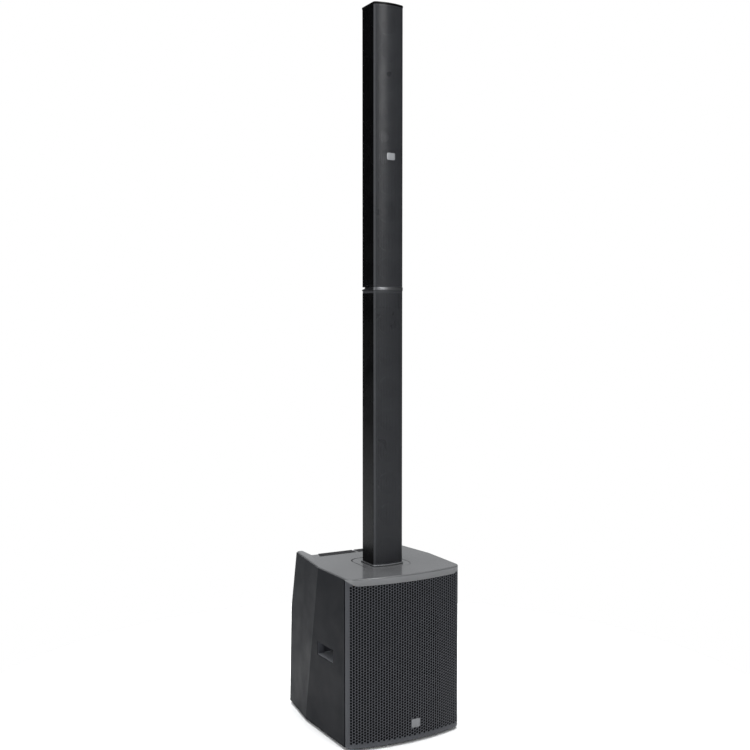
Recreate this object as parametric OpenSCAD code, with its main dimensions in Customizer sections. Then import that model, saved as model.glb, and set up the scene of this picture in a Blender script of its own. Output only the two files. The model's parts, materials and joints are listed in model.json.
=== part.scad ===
// Column PA system: a subwoofer cabinet with two plug-in column sections.
// Millimetres. Z is up, X is to the right seen from the front, and the front faces -Y.
// The origin is on the floor, under the middle of the cabinet.

/* [Cabinet] */
// Width of the box at its front corners
front_w = 366; // [360:2:370]
// Width that each side gains from the front corner to its crease
side_gain = 4; // [3:0.5:5]
// Depth of the box, from the middle of the grille to the knee in its back
cab_d = 458; // [454:2:464]
// Height of the box above its feet
cab_h = 472; // [470:1:476]
// Thickness of the wooden boards
board_t = 15; // [13:1:15]
// Radius of the bow in the front
bow_r = 648; // [600:8:700]
// Radius of the two upright front corners
corner_r = 28; // [24:1:30]
// Height of the rubber feet
foot_h = 8; // [6:1:12]
// Turn of the rear side facets, in degrees
facet_yaw = 7.8; // [7:0.1:8.4]
// Lean of the rear side facets, in degrees
facet_lean = 1.67; // [1.2:0.01:1.8]

/* [Top] */
// Thickness of the moulded top cover
cover_t = 4; // [3:0.5:5]
// Height of the cover's front lip
lip_h = 21; // [16:1:24]
// Width of the notch between the two rear wings
notch_w = 276; // [272:2:278]
// Front to back size of the grip bar
bar_d = 31; // [26:1:33]
// Height of the grip bar
bar_h = 28; // [22:1:30]

/* [Column] */
// Width of a column section
col_w = 95; // [92:1:98]
// Length of one column section
col_len = 796; // [790:2:900]
// Radius of the bow in a column's front
col_bow_r = 140; // [130:5:160]
// Radius of a column's front corners
col_corner_r = 9; // [7:0.5:10]
// Wall of the aluminium profile
wall_t = 2.5; // [2:0.25:3]
// Length of the plug under a column section
plug_h = 40; // [34:1:44]

/* [Drivers] */
// Outer radius of the woofer's frame
woofer_r = 154; // [150:1:155]
// Height of the woofer's centre above the floor
woofer_z = 262; // [260:1:264]
// Outer radius of a column driver's frame
mid_r = 39; // [36:0.5:39]
// Number of drivers in each column section
mid_count = 8; // [8]

/* [Controls] */
// Tilt of the control panel, in degrees from upright
panel_tilt = 29; // [28:0.5:29]
// Length of the control panel up its slope
panel_len = 152; // [150:1:153]
// Radius of a knob
knob_r = 12; // [9:0.5:13]
// Height of a knob
knob_h = 16; // [12:1:18]

/* [Hidden] */

// Heights
z_base = foot_h;
z_top = foot_h + cab_h;
z_cover = z_top - cover_t;
z_lip = z_top - lip_h;
z_floor = z_base + board_t;
z_ceiling = z_cover - board_t;
z_shelf_top = 290;
shelf_t = 12;
// Plan of the box
front_y = -cab_d / 2;
rear_y = cab_d / 2;
bow_cy = front_y + bow_r;
corner_cx = front_w / 2 - corner_r;
corner_cy = bow_cy - sqrt(pow(bow_r - corner_r, 2) - pow(corner_cx, 2));
crease_y = -27;
seam_gap = 4;
side_front_y = corner_cy - 2;
grille_edge_y = side_front_y - seam_gap;
function side_x(y) = front_w / 2 + side_gain * (y - corner_cy) / (crease_y - corner_cy);
function bow_end_x(d) = corner_cx + (corner_r - d) * corner_cx / (bow_r - corner_r);
// The lip's lower edge climbs round each front corner, from the bow's end to the seam
climb_dx = front_w / 2 - bow_end_x(0);
climb_dy = side_front_y - seam_gap / 2 - bow_cy + sqrt(pow(bow_r, 2) - pow(bow_end_x(0), 2));
climb_run = norm([climb_dx, climb_dy]);
climb_end_h = 1.5;
climb_slope = (lip_h - cover_t - climb_end_h + 0.4) / climb_run;
function climb_z(t) = z_cover - climb_end_h - t * climb_slope;
// Side view of the back: foot, knee and top
rear_low_y = rear_y - 9;
knee_z = 296;
rear_top_y = rear_y - 41;
// Boards
baffle_t = 18;
baffle_y = -186;
rear_board_y = 214;
bay_wall_y = 31;
well_y = 55;
big = 800;
// Grip bar and the hand well under it
bar_y1 = 119;
bar_y0 = bar_y1 - bar_d;
bar_z = z_top - bar_h;
well_z = 412;
well_wall = 3;
pad_rise = 0.6;
pad_sink = 1.5;
// Column
col_front_y = -113;
col_back_y = -32.5;
col_back_r = 4;
col_bow_cy = col_front_y + col_bow_r;
col_corner_cx = col_w / 2 - col_corner_r;
col_corner_cy = col_bow_cy - sqrt(pow(col_bow_r - col_corner_r, 2) - pow(col_corner_cx, 2));
col_split_y = col_corner_cy - 2.8;
function col_bow_end_x(d) = col_corner_cx + (col_corner_r - d) * col_corner_cx / (col_bow_r - col_corner_r);
lower_z = z_top;
upper_z = lower_z + col_len;
flange_h = 4;
head_cap_h = 14;
neck_h = 3;
neck_in = 5;
band_h = 10;
top_cap_h = 6;
plug_x = 32.5;
plug_y0 = -96.5;
plug_y1 = -48.5;
pocket_gap = 0.5;
pin_r = 2;
pin_hole_r = 2.5;
socket_x = 71;
socket_y0 = -132;
socket_y1 = 12;
socket_r = 36;
socket_gap = 1.5;
collar_h = 4;
collar_out = 3;
// Column drivers
mid_baffle_y = -97;
mid_baffle_t = 6;
mid_hole_r = 33.5;
lower_pitch = 92;
upper_pitch = 80;
horn_h = 124;
horn_x = 42;
horn_r = 27;
horn_depth = 16;
tweeter_dz = 30;
badge_rise = 0.9;
// Ends of the profiles and the baffles inside them
lower_profile_z0 = lower_z + flange_h;
lower_profile_z1 = upper_z - head_cap_h;
upper_profile_z0 = upper_z + neck_h + flange_h;
upper_profile_z1 = upper_z + col_len - top_cap_h;
lower_baffle_z0 = lower_profile_z0 + 4;
lower_baffle_z1 = lower_profile_z1 - 42;
upper_baffle_z0 = upper_profile_z0 + 2;
upper_baffle_z1 = upper_profile_z1 - 2;
horn_z = (upper_baffle_z0 + upper_baffle_z1) / 2;
// Control panel frame
panel_y = rear_board_y;
panel_z = z_shelf_top;
panel_x = 137.5;
panel_t = 2;
knob_z = 100;
button_z = 44;
knob_xs = [-104, -52, 0, 52, 104];
button_xs = [-78, -26];
plate_z0 = 152;
plate_z1 = 284;
plate_x = 124;
plate_t = 2;
// Sockets on the connector plate
inlet_x = -80;
inlet_z = 182;
rocker_x = -32;
rocker_y = 212;
rocker_z = 182;
rocker_tilt = 9;
combo_xs = [-88, -44, 0];
combo_z = 246;
line_xs = [40, 62];
line_zs = [236, 258];
link_x = 88;
// Side handle pockets
handle_y0 = -118;
handle_y1 = -20;
handle_z0 = 222;
handle_z1 = 264;
handle_r = 6;
handle_flange = 6;
handle_x0 = 136;
handle_wall = 3;
handle_room = 34;
// Badges
sub_badge_x0 = 5;
sub_badge_x1 = 32;
sub_badge_z0 = 43;
sub_badge_z1 = 68;
column_badge_x0 = -10;
column_badge_x1 = 16;
column_badge_z0 = 1636;
column_badge_z1 = 1656;
badge_r = 4;
// Smoothness of the curves
round_fn = 64;
fine_fn = 128;

// ---------- helpers ----------

// Extrudes a (y, z) outline along X.
module x_prism(x0, x1) {
  translate([x0, 0, 0]) rotate([90, 0, 90]) linear_extrude(x1 - x0) children();
}

// Extrudes an (x, z) outline along Y.
module y_prism(y0, y1) {
  translate([0, y1, 0]) rotate([90, 0, 0]) linear_extrude(y1 - y0) children();
}

// A rectangle from one corner to the other, with round corners.
module round_rect(x0, x1, y0, y1, r) {
  translate([x0 + r, y0]) square([x1 - x0 - 2 * r, y1 - y0]);
  translate([x0, y0 + r]) square([x1 - x0, y1 - y0 - 2 * r]);
  for (x = [x0 + r, x1 - r], y = [y0 + r, y1 - r]) translate([x, y]) circle(r, $fn = round_fn);
}

module box(x0, x1, y0, y1, z0, z1) {
  translate([x0, y0, z0]) cube([x1 - x0, y1 - y0, z1 - z0]);
}

// Puts children made along +Z in front of the baffle, with +Z pointing forwards.
module on_baffle(x, z) {
  translate([x, baffle_y, z]) rotate([90, 0, 0]) children();
}

// Puts children in the frame of the control panel: X across, Y outwards, Z up the slope.
module on_panel() {
  translate([0, panel_y, panel_z]) rotate([panel_tilt, 0, 0]) children();
}

// Turns a shape made along +Z so that it points along +Y.
module along_y() {
  rotate([-90, 0, 0]) children();
}

// Both sides of the cabinet.
module both_sides() {
  children();
  mirror([1, 0, 0]) children();
}

// ---------- cabinet outline ----------

// Plan of the bowed front with its round corners, moved in by d.
module front_plan(d) {
  intersection() {
    translate([0, bow_cy]) circle(bow_r - d, $fn = fine_fn * 2);
    translate([-bow_end_x(d), front_y - 5]) square([2 * bow_end_x(d), 90]);
  }
  for (s = [-1, 1]) translate([s * corner_cx, corner_cy]) circle(corner_r - d, $fn = round_fn);
  translate([-front_w / 2 - 20, corner_cy]) square([front_w + 40, 600]);
}

// A wall of the bowed front, t thick.
module shell_plan(t) {
  difference() {
    front_plan(0);
    front_plan(t);
  }
}

// Extrudes a (t, z) outline across both front corners; t runs from the seam towards the bow.
module across_corners() {
  both_sides() intersection() {
    translate([front_w / 2, side_front_y - seam_gap / 2, 0]) rotate([0, 0, 180 + atan2(climb_dy, climb_dx)])
      translate([0, 200, 0]) rotate([90, 0, 0]) linear_extrude(400) children();
    box(0, 250, -250, 0, 0, big);
  }
}

// Everything between the side faces, moved in by d.
module between_sides(d) {
  difference() {
    linear_extrude(big) polygon([
      [-side_x(-300) + d, -300], [side_x(-300) - d, -300],
      [side_x(300) - d, 300], [-side_x(300) + d, 300]
    ]);
    both_sides() translate([side_x(crease_y), crease_y, z_top])
      rotate([0, 0, facet_yaw]) rotate([0, -facet_lean, 0])
        translate([-d, -big / 2, -big]) cube([200, big, big * 1.5]);
  }
}

// Everything in front of the back's outline, moved in by d.
module before_back(d) {
  x_prism(-250, 250) polygon([
    [-300, z_base - 1], [rear_low_y - d, z_base - 1], [rear_low_y - d, z_base],
    [rear_y - d, knee_z], [rear_top_y - d, z_top], [rear_top_y - d, z_top + 5], [-300, z_top + 5]
  ]);
}

// A board that fills the space between the side panels.
module inner_board(y0, y1, z0, z1) {
  intersection() {
    between_sides(board_t);
    box(-250, 250, y0, y1, z0, z1);
  }
}

// The outline of a side handle's mouth, made bigger by grow.
module handle_hole(grow, x0, x1) {
  x_prism(x0, x1)
    round_rect(handle_y0 - grow, handle_y1 + grow, handle_z0 - grow, handle_z1 + grow, handle_r + grow);
}

module side_panel() {
  difference() {
    intersection() {
      between_sides(0);
      before_back(0);
      translate([0, 0, z_base]) linear_extrude(z_cover - z_base) front_plan(0);
      box(0, 250, side_front_y, 250, 0, big);
    }
    between_sides(board_t);
    handle_hole(0, 120, 250);
  }
}

module side_panel_left() {
  color("#33343a") mirror([1, 0, 0]) side_panel();
}

module side_panel_right() {
  color("#33343a") side_panel();
}

// The part of a board that reaches forward behind the grille or the lip.
module front_board(d, z0, z1) {
  intersection() {
    between_sides(d);
    translate([0, 0, z0]) linear_extrude(z1 - z0) front_plan(d);
    box(-250, 250, -250, side_front_y - 0.3, z0, z1);
  }
}

module bottom_panel() {
  color("#2b2c30") difference() {
    union() {
      inner_board(baffle_y, rear_board_y, z_base, z_floor);
      front_board(1.8, z_base, z_floor);
    }
    for (x = [-140, 140], y = [-150, 165]) translate([x, y, z_base - 1])
      cylinder(r = 2.5, h = 9, $fn = round_fn);
  }
}

module rear_panel() {
  color("#2b2c30") difference() {
    inner_board(rear_board_y - board_t, rear_board_y, z_floor, z_shelf_top);
    box(-117, 117, 190, 230, 159, 277);
    plate_screw_places() cylinder(r = 1.7, h = 14, center = true, $fn = round_fn);
  }
}

module top_board() {
  color("#8a7a5c") difference() {
    union() {
      inner_board(baffle_y, well_y, z_ceiling, z_cover);
      front_board(4.3, z_ceiling, z_cover);
    }
    box(-41.5, 41.5, -106.5, -38.5, z_ceiling - 1, z_cover + 1);
  }
}

module front_baffle() {
  color("#202125") difference() {
    union() {
      inner_board(baffle_y, baffle_y + baffle_t, z_floor, z_ceiling);
      intersection() {
        between_sides(3);
        box(-250, 250, baffle_y, side_front_y - 0.3, z_floor, z_lip - 0.5);
      }
    }
    on_baffle(0, woofer_z) translate([0, 0, -30]) cylinder(r = 140.5, h = 40, $fn = fine_fn);
    port_places() translate([0, 0, -30]) cylinder(r = 32, h = 40, $fn = round_fn);
    bolt_places() translate([0, 0, -25]) cylinder(r = 2.4, h = 30, $fn = round_fn);
  }
}

module bay_shelf() {
  color("#8a7a5c") inner_board(bay_wall_y, rear_board_y - board_t, z_shelf_top - shelf_t, z_shelf_top);
}

module bay_wall() {
  color("#8a7a5c") inner_board(bay_wall_y, bay_wall_y + shelf_t, z_shelf_top, z_ceiling);
}

// ---------- top ----------

module socket_outline(d) {
  round_rect(-socket_x + d, socket_x - d, socket_y0 + d, socket_y1 - d, socket_r - d);
}

// Plan of one grip pad on the top of the bar.
module pad_plan() {
  polygon([[4, bar_y0], [4, bar_y1], [117, bar_y1], [127, bar_y0 - 1]]);
}

module top_cover() {
  color("#4a4b50") difference() {
    union() {
      intersection() {
        between_sides(0);
        before_back(0);
        translate([0, 0, z_cover]) linear_extrude(cover_t) front_plan(0);
      }
      difference() {
        intersection() {
          between_sides(0);
          translate([0, 0, z_lip]) linear_extrude(z_cover - z_lip) shell_plan(4);
          box(-250, 250, -250, side_front_y - 0.3, 0, big);
        }
        across_corners() polygon([[-15, climb_z(-15)], [45, climb_z(45)], [-15, climb_z(45)]]);
      }
      box(-notch_w / 2 + well_wall, notch_w / 2 - well_wall, bar_y0, bar_y1, bar_z, z_cover);
    }
    box(-notch_w / 2, notch_w / 2, bar_y1, 250, z_cover - 1, z_top + 1);
    translate([0, 0, z_cover - 1]) linear_extrude(cover_t + 2) socket_outline(-socket_gap);
    both_sides() translate([0, 0, z_top - pad_sink]) linear_extrude(10) pad_plan();
  }
}

module grip_pads() {
  color("#17181a") both_sides() {
    translate([0, 0, z_top - pad_sink]) linear_extrude(pad_sink + pad_rise) pad_plan();
    box(4, 117, bar_y1, bar_y1 + 2, bar_z + 4, z_top + pad_rise);
  }
}

module handle_well() {
  well_y1 = 142;
  color("#1d1e21") difference() {
    union() {
      box(-notch_w / 2, notch_w / 2, well_y, well_y1, well_z, well_z + well_wall);
      box(-notch_w / 2, notch_w / 2, well_y, well_y + well_wall, well_z, z_cover);
      both_sides() box(notch_w / 2 - well_wall, notch_w / 2, well_y, well_y1, well_z, z_cover);
    }
    on_panel() box(-200, 200, -panel_t - 0.3, 20, 0, panel_len + 1);
  }
}

// Liners of the two rear wings, each with the ledge that carries the control panel.
module wing_liners() {
  color("#232428") difference() {
    both_sides() union() {
      intersection() {
        between_sides(board_t);
        before_back(2);
        box(notch_w / 2, 250, 0, 250, z_shelf_top, z_cover);
        on_panel() box(100, 250, -14, 200, -120, 400);
      }
      on_panel() box(128, notch_w / 2 + 1, -14, -panel_t, 12, panel_len - 16);
    }
    on_panel() panel_screw_places() cylinder(r = 1.7, h = 20, center = true, $fn = round_fn);
  }
}

// Outline of a column, moved in by d.
module column_plan(d) {
  intersection() {
    translate([0, col_bow_cy]) circle(col_bow_r - d, $fn = fine_fn * 2);
    translate([-col_bow_end_x(d), col_front_y - 5]) square([2 * col_bow_end_x(d), 60]);
  }
  for (s = [-1, 1]) translate([s * col_corner_cx, col_corner_cy]) circle(col_corner_r - d, $fn = round_fn);
  translate([-col_w / 2 + d, col_corner_cy]) square([col_w - 2 * d, 40]);
  round_rect(-col_w / 2 + d, col_w / 2 - d, -90, col_back_y - d, col_back_r);
}

// The pocket that a column's plug goes into, above the height z.
module plug_pocket(z, h) {
  translate([0, 0, z]) linear_extrude(h)
    round_rect(-plug_x - pocket_gap, plug_x + pocket_gap, plug_y0 - pocket_gap, plug_y1 + pocket_gap, 5);
}

module pin_places(z) {
  for (x = [-18, -6, 6, 18]) translate([x, (plug_y0 + plug_y1) / 2, z]) children();
}

module column_socket() {
  color("#3c3d42") difference() {
    union() {
      translate([0, 0, z_cover]) linear_extrude(cover_t) socket_outline(0);
      box(-41, 41, -106, -39, z_top - plug_h - 14, z_cover);
      translate([0, 0, z_top]) linear_extrude(collar_h) column_plan(-collar_out);
    }
    translate([0, 0, z_top]) linear_extrude(10) column_plan(-0.5);
    plug_pocket(z_top - plug_h - 10, 60);
  }
}

module contacts(z) {
  translate([0, 0, z]) linear_extrude(6) round_rect(-30, 30, plug_y0 + 4, plug_y1 - 4, 4);
  pin_places(z + 6) cylinder(r = pin_r, h = 11, $fn = round_fn);
}

module socket_contacts() {
  color("#c9a94e") contacts(z_top - plug_h - 10);
}

module head_contacts() {
  color("#c9a94e") contacts(upper_z - plug_h - 10);
}

// ---------- front ----------

// A small plain badge that clips through its grille; y is the grille's front.
module badge(x0, x1, z0, z1, y) {
  color("silver") {
    y_prism(y - badge_rise, y) round_rect(x0, x1, z0, z1, badge_r);
    y_prism(y, y + 2.1) round_rect(x0 + 1, x1 - 1, z0 + 1, z1 - 1, badge_r - 1);
  }
}

// The hole in a grille for its badge.
module badge_hole(x0, x1, z0, z1, y) {
  y_prism(y - 5, y + 5) round_rect(x0 + 0.7, x1 - 0.7, z0 + 0.7, z1 - 0.7, badge_r - 0.7);
}

module sub_grille() {
  color("#3c3e44") difference() {
    intersection() {
      between_sides(0);
      translate([0, 0, z_base + 1]) linear_extrude(z_cover - z_base - 1.5) shell_plan(1.5);
      box(-250, 250, -250, grille_edge_y, 0, big);
    }
    across_corners() polygon([
      [-15, climb_z(-15) - 0.5], [(climb_z(0) - z_lip) / climb_slope, z_lip - 0.5],
      [400, z_lip - 0.5], [400, z_top + 20], [-15, z_top + 20]
    ]);
    badge_hole(sub_badge_x0, sub_badge_x1, sub_badge_z0, sub_badge_z1, front_y);
  }
}

module grille_foam() {
  color("#0b0b0c") intersection() {
    between_sides(0);
    translate([0, 0, z_floor]) linear_extrude(z_lip - z_floor - 2) difference() {
      front_plan(2.5);
      front_plan(8.5);
    }
    box(-160, 160, -250, baffle_y - 6, 0, big);
  }
}

module sub_badge() {
  badge(sub_badge_x0, sub_badge_x1, sub_badge_z0, sub_badge_z1, front_y);
}

module column_badge() {
  badge(column_badge_x0, column_badge_x1, column_badge_z0, column_badge_z1, col_front_y);
}

module bolt_places() {
  for (i = [0 : 7]) on_baffle(0, woofer_z) rotate([0, 0, 22.5 + 45 * i]) translate([147, 0, 0]) children();
}

module woofer_frame() {
  color("#1a1a1c") difference() {
    on_baffle(0, woofer_z) difference() {
      rotate_extrude($fn = fine_fn) polygon([
        [139.2, 5], [woofer_r, 5], [woofer_r, 0], [140, 0], [84, -84], [84, -92], [39, -92],
        [39, -88], [80, -88], [80, -72.4], [87, -72.4], [136, 1], [139.2, 1]
      ]);
      for (i = [0 : 5]) rotate([0, 0, 60 * i]) translate([90, -28, -69]) cube([60, 56, 41]);
    }
    bolt_places() translate([0, 0, -1]) cylinder(r = 2.8, h = 8, $fn = round_fn);
  }
}

module woofer_magnet() {
  color("#77797d") on_baffle(0, woofer_z) rotate_extrude($fn = fine_fn) polygon([
    [0, -137], [72, -137], [72, -129], [80, -129], [80, -101], [74, -101], [74, -92],
    [39, -92], [39, -101], [46, -101], [46, -129], [35, -129], [35, -93], [0, -93]
  ]);
}

// The rubber half-roll at the cone's edge, and the corrugated spider at its neck.
module woofer_suspension() {
  color("#111111") on_baffle(0, woofer_z) {
    rotate_extrude($fn = fine_fn) {
      intersection() {
        translate([128.8, 1]) difference() {
          circle(9.5, $fn = round_fn);
          circle(8.5, $fn = round_fn);
        }
        translate([118, 1]) square([22, 12]);
      }
      translate([137.3, 1]) square([1.7, 1.5]);
    }
    rotate_extrude($fn = fine_fn) polygon([
      [39.2, -71.2], [46, -69.2], [53, -71.2], [60, -69.2], [67, -71.2], [86.6, -71.2],
      [86.6, -72.4], [67, -72.4], [60, -70.4], [53, -72.4], [46, -70.4], [39.2, -72.4]
    ]);
  }
}

module woofer_cone() {
  color("#1c1c1e") on_baffle(0, woofer_z) {
    rotate_extrude($fn = fine_fn) polygon([
      [118.4, -2], [118.4, -0.5], [116, -0.5], [38.2, -56], [36, -60], [36, -62], [38.2, -62]
    ]);
    rotate_extrude($fn = fine_fn) intersection() {
      translate([0, -76]) difference() {
        circle(52, $fn = round_fn);
        circle(50.6, $fn = round_fn);
      }
      translate([0, -49]) square([44.2, 40]);
    }
    rotate_extrude($fn = fine_fn) polygon([[36.2, -112], [38, -112], [38, -62], [36.2, -62]]);
  }
}

module port_places() {
  for (x = [-112, 112]) on_baffle(x, 70) children();
}

module port_tubes() {
  color("#1a1a1c") port_places() difference() {
    union() {
      translate([0, 0, -150]) cylinder(r = 32, h = 150, $fn = round_fn);
      cylinder(r = 37, h = 3, $fn = round_fn);
    }
    translate([0, 0, -151]) cylinder(r = 29, h = 160, $fn = round_fn);
  }
}

// ---------- electronics ----------

// Screw places of the control panel, in the panel's frame, pointing outwards.
module panel_screw_places() {
  for (x = [-132.5, 132.5], z = [20, 76, 130]) translate([x, -panel_t, z]) along_y() children();
}

// Screw places of the connector plate.
module plate_screw_places() {
  for (x = [-120.5, 0, 120.5], z = [155.5, 280.5]) translate([x, rear_board_y, z]) along_y() children();
}

module control_panel() {
  color("#26272b") on_panel() difference() {
    box(-panel_x, panel_x, -panel_t, 0, 1.7, panel_len);
    for (x = knob_xs) translate([x, 0, knob_z]) along_y()
      cylinder(r = 3.6, h = 20, center = true, $fn = round_fn);
    for (x = button_xs) translate([x, 0, button_z]) along_y()
      cylinder(r = 5.3, h = 20, center = true, $fn = round_fn);
    light_places() along_y() cylinder(r = 2, h = 20, center = true, $fn = round_fn);
    panel_screw_places() cylinder(r = 2, h = 20, center = true, $fn = round_fn);
  }
}

module light_places() {
  for (x = [20 : 12 : 104]) translate([x, 0, button_z]) children();
}

module status_lights() {
  color("#7fd18b") on_panel() light_places() along_y() {
    translate([0, 0, -18]) cylinder(r = 1.9, h = 18.6, $fn = round_fn);
  }
}

module mixer_board() {
  color("#1f5d3a") on_panel() difference() {
    union() {
      box(-122, 122, -19.6, -18, 14, 124);
      for (x = knob_xs) {
        box(x - 8, x + 8, -18, -8, knob_z - 8, knob_z + 8);
        translate([x, -8, knob_z]) along_y() cylinder(r = 3, h = 12, $fn = round_fn);
      }
      for (x = button_xs) box(x - 5, x + 5, -18, -10, button_z - 5, button_z + 5);
      for (x = [-90 : 30 : 90]) box(x, x + 12, -18, -15, 64, 76);
    }
  }
}

module amplifier_board() {
  color("#1f5d3a") {
    box(6, 126, 52, 150, 296, 297.6);
    for (x = [20, 60, 100]) translate([x, 66, 297.6]) cylinder(r = 9, h = 24, $fn = round_fn);
    for (x = [16, 116], y = [60, 142]) translate([x, y, z_shelf_top]) cylinder(r = 3, h = 6, $fn = round_fn);
  }
}

module heat_sink() {
  color("#9a9ca0") {
    box(16, 118, 92, 140, 298, 302);
    for (i = [0 : 9]) box(18 + 10.6 * i, 20.4 + 10.6 * i, 92, 140, 302, 330);
  }
}

module power_supply() {
  color("#2a6b45") {
    box(-126, -6, 52, 150, 296, 297.6);
    box(-112, -72, 96, 136, 297.6, 328);
    for (x = [-56, -30], y = [80, 112]) translate([x, y, 297.6]) cylinder(r = 11, h = 30, $fn = round_fn);
    for (x = [-116, -16], y = [60, 142]) translate([x, y, z_shelf_top])
      cylinder(r = 3, h = 6, $fn = round_fn);
  }
}

module connector_plate() {
  color("#26272b") difference() {
    box(-plate_x, plate_x, rear_board_y, rear_board_y + plate_t, plate_z0, plate_z1);
    box(inlet_x - 14.5, inlet_x + 14.5, 200, 230, inlet_z - 10.5, inlet_z + 10.5);
    box(rocker_x - 10.5, rocker_x + 10.5, 200, 230, rocker_z - 14.5, rocker_z + 14.5);
    for (x = concat(combo_xs, link_x)) translate([x, rear_board_y, combo_z])
      along_y() cylinder(r = 12, h = 20, center = true, $fn = round_fn);
    for (x = line_xs, z = line_zs) translate([x, rear_board_y, z])
      along_y() cylinder(r = 5, h = 20, center = true, $fn = round_fn);
    plate_screw_places() cylinder(r = 2, h = 20, center = true, $fn = round_fn);
  }
}

// Mains inlet with three blades, and the frame that the rocker turns in.
module mains_inlet() {
  color("#141416") {
    difference() {
      union() {
        box(inlet_x - 19, inlet_x + 19, 216, 218.5, inlet_z - 15, inlet_z + 15);
        box(inlet_x - 14, inlet_x + 14, 190, 216, inlet_z - 10, inlet_z + 10);
      }
      box(inlet_x - 12, inlet_x + 12, 195, 220, inlet_z - 8, inlet_z + 8);
    }
    for (p = [[-7, -2], [0, 3], [7, -2]])
      box(inlet_x + p[0] - 1, inlet_x + p[0] + 1, 194, 212, inlet_z + p[1] - 2, inlet_z + p[1] + 2);
    difference() {
      union() {
        box(rocker_x - 13, rocker_x + 13, 216, 218.5, rocker_z - 17, rocker_z + 17);
        box(rocker_x - 10, rocker_x + 10, 196, 216, rocker_z - 14, rocker_z + 14);
      }
      box(rocker_x - 7.6, rocker_x + 7.6, 200, 220, rocker_z - 11.6, rocker_z + 11.6);
      translate([rocker_x, rocker_y, rocker_z]) rotate([0, 90, 0])
        cylinder(r = 1.55, h = 19, center = true, $fn = round_fn);
    }
  }
}

// A rocker with two sloping faces and its pivot pin, shown in the off position.
module mains_rocker() {
  color("#a01818") translate([rocker_x, rocker_y, rocker_z]) rotate([rocker_tilt, 0, 0]) {
    x_prism(-7, 7) polygon([[-6, -8], [4, -10.4], [8.6, -10], [6.2, 0], [8.6, 10], [4, 10.4], [-6, 8]]);
    rotate([0, 90, 0]) cylinder(r = 1.5, h = 17.6, center = true, $fn = round_fn);
  }
}

// A round socket: flange, body and an open mouth with a core that holds the contact holes.
module round_socket(x, z) {
  difference() {
    union() {
      y_prism(216, 218) round_rect(x - 13, x + 13, z - 15.5, z + 15.5, 2);
      translate([x, 192, z]) along_y() cylinder(r = 11.8, h = 24, $fn = round_fn);
    }
    translate([x, 204, z]) along_y() cylinder(r = 9.4, h = 20, $fn = round_fn);
    translate([x, 194, z]) along_y() cylinder(r = 3.3, h = 20, $fn = round_fn);
  }
}

module signal_sockets() {
  color("#1b1b1e") {
    for (x = concat(combo_xs, link_x)) round_socket(x, combo_z);
    for (a = [90, 210, 330]) translate([link_x + 5.6 * cos(a), 200, combo_z + 5.6 * sin(a)])
      along_y() cylinder(r = 1.2, h = 12, $fn = round_fn);
    for (x = line_xs, z = line_zs) translate([x, 200, z]) along_y() difference() {
      union() {
        cylinder(r = 4.9, h = 16, $fn = round_fn);
        translate([0, 0, 16]) cylinder(r = 6.5, h = 2, $fn = round_fn);
        translate([0, 0, 18]) cylinder(r = 4.15, h = 7, $fn = round_fn);
      }
      translate([0, 0, 12]) cylinder(r = 1.7, h = 20, $fn = round_fn);
    }
  }
}

// A knob with a skirt, a grip that narrows in steps and a pointer groove.
module knob(i) {
  color("#18191b") on_panel() translate([knob_xs[i], 0, knob_z]) along_y() difference() {
    union() {
      translate([0, 0, 0.8]) cylinder(r = knob_r, h = 3, $fn = round_fn);
      translate([0, 0, 3.8]) cylinder(r = knob_r - 2.5, h = knob_h - 3.8, $fn = round_fn);
    }
    cylinder(r = 3.05, h = 10, center = true, $fn = round_fn);
    translate([-0.6, -knob_r, knob_h - 0.8]) cube([1.2, knob_r, 2]);
  }
}

module button(x) {
  color("#2c2d31") on_panel() translate([x, 0, button_z]) along_y() {
    translate([0, 0, -6]) cylinder(r = 5, h = 9.5, $fn = round_fn);
    translate([0, 0, -7.2]) cylinder(r = 6.5, h = 1.2, $fn = round_fn);
  }
}

// The woofer's bolts and the screws of the two rear panels.
module screws() {
  color("#0f0f10") {
    bolt_places() {
      translate([0, 0, 5]) cylinder(r = 4.5, h = 3, $fn = round_fn);
      translate([0, 0, -15]) cylinder(r = 2.4, h = 20, $fn = round_fn);
    }
    on_panel() panel_screw_places() {
      translate([0, 0, -9]) cylinder(r = 1.7, h = 11, $fn = round_fn);
      translate([0, 0, panel_t]) cylinder(r = 3.6, h = 1.8, $fn = round_fn);
    }
    plate_screw_places() {
      translate([0, 0, -7]) cylinder(r = 1.7, h = 9, $fn = round_fn);
      translate([0, 0, plate_t]) cylinder(r = 3.6, h = 1.8, $fn = round_fn);
    }
  }
}

// ---------- handles and feet ----------

module side_handle() {
  difference() {
    union() {
      intersection() {
        handle_hole(0, 150, 250);
        between_sides(0.6);
      }
      intersection() {
        x_prism(handle_x0, 180) round_rect(handle_y0 - handle_flange, handle_y1 + handle_flange,
          handle_z0 - handle_flange, handle_z1 + handle_room, 8);
        between_sides(board_t);
      }
    }
    handle_hole(-handle_wall, handle_x0 + handle_wall, 250);
    x_prism(handle_x0 + handle_wall, 166) round_rect(
      handle_y0 - handle_flange + handle_wall, handle_y1 + handle_flange - handle_wall,
      handle_z0 + handle_wall, handle_z1 + handle_room - handle_wall, 6);
  }
}

module side_handles() {
  color("#26272b") both_sides() side_handle();
}

module rubber_feet() {
  color("#111111") for (x = [-140, 140], y = [-150, 165]) translate([x, y, 0]) {
    cylinder(r = 18, h = foot_h, $fn = round_fn);
    cylinder(r = 2.5, h = foot_h + 8, $fn = round_fn);
  }
}

// ---------- columns ----------

module profile(z0, z1) {
  color("#1b1c1f") translate([0, 0, z0]) linear_extrude(z1 - z0) intersection() {
    difference() {
      column_plan(0);
      column_plan(wall_t);
    }
    translate([-60, col_split_y]) square([120, 100]);
  }
}

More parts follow.
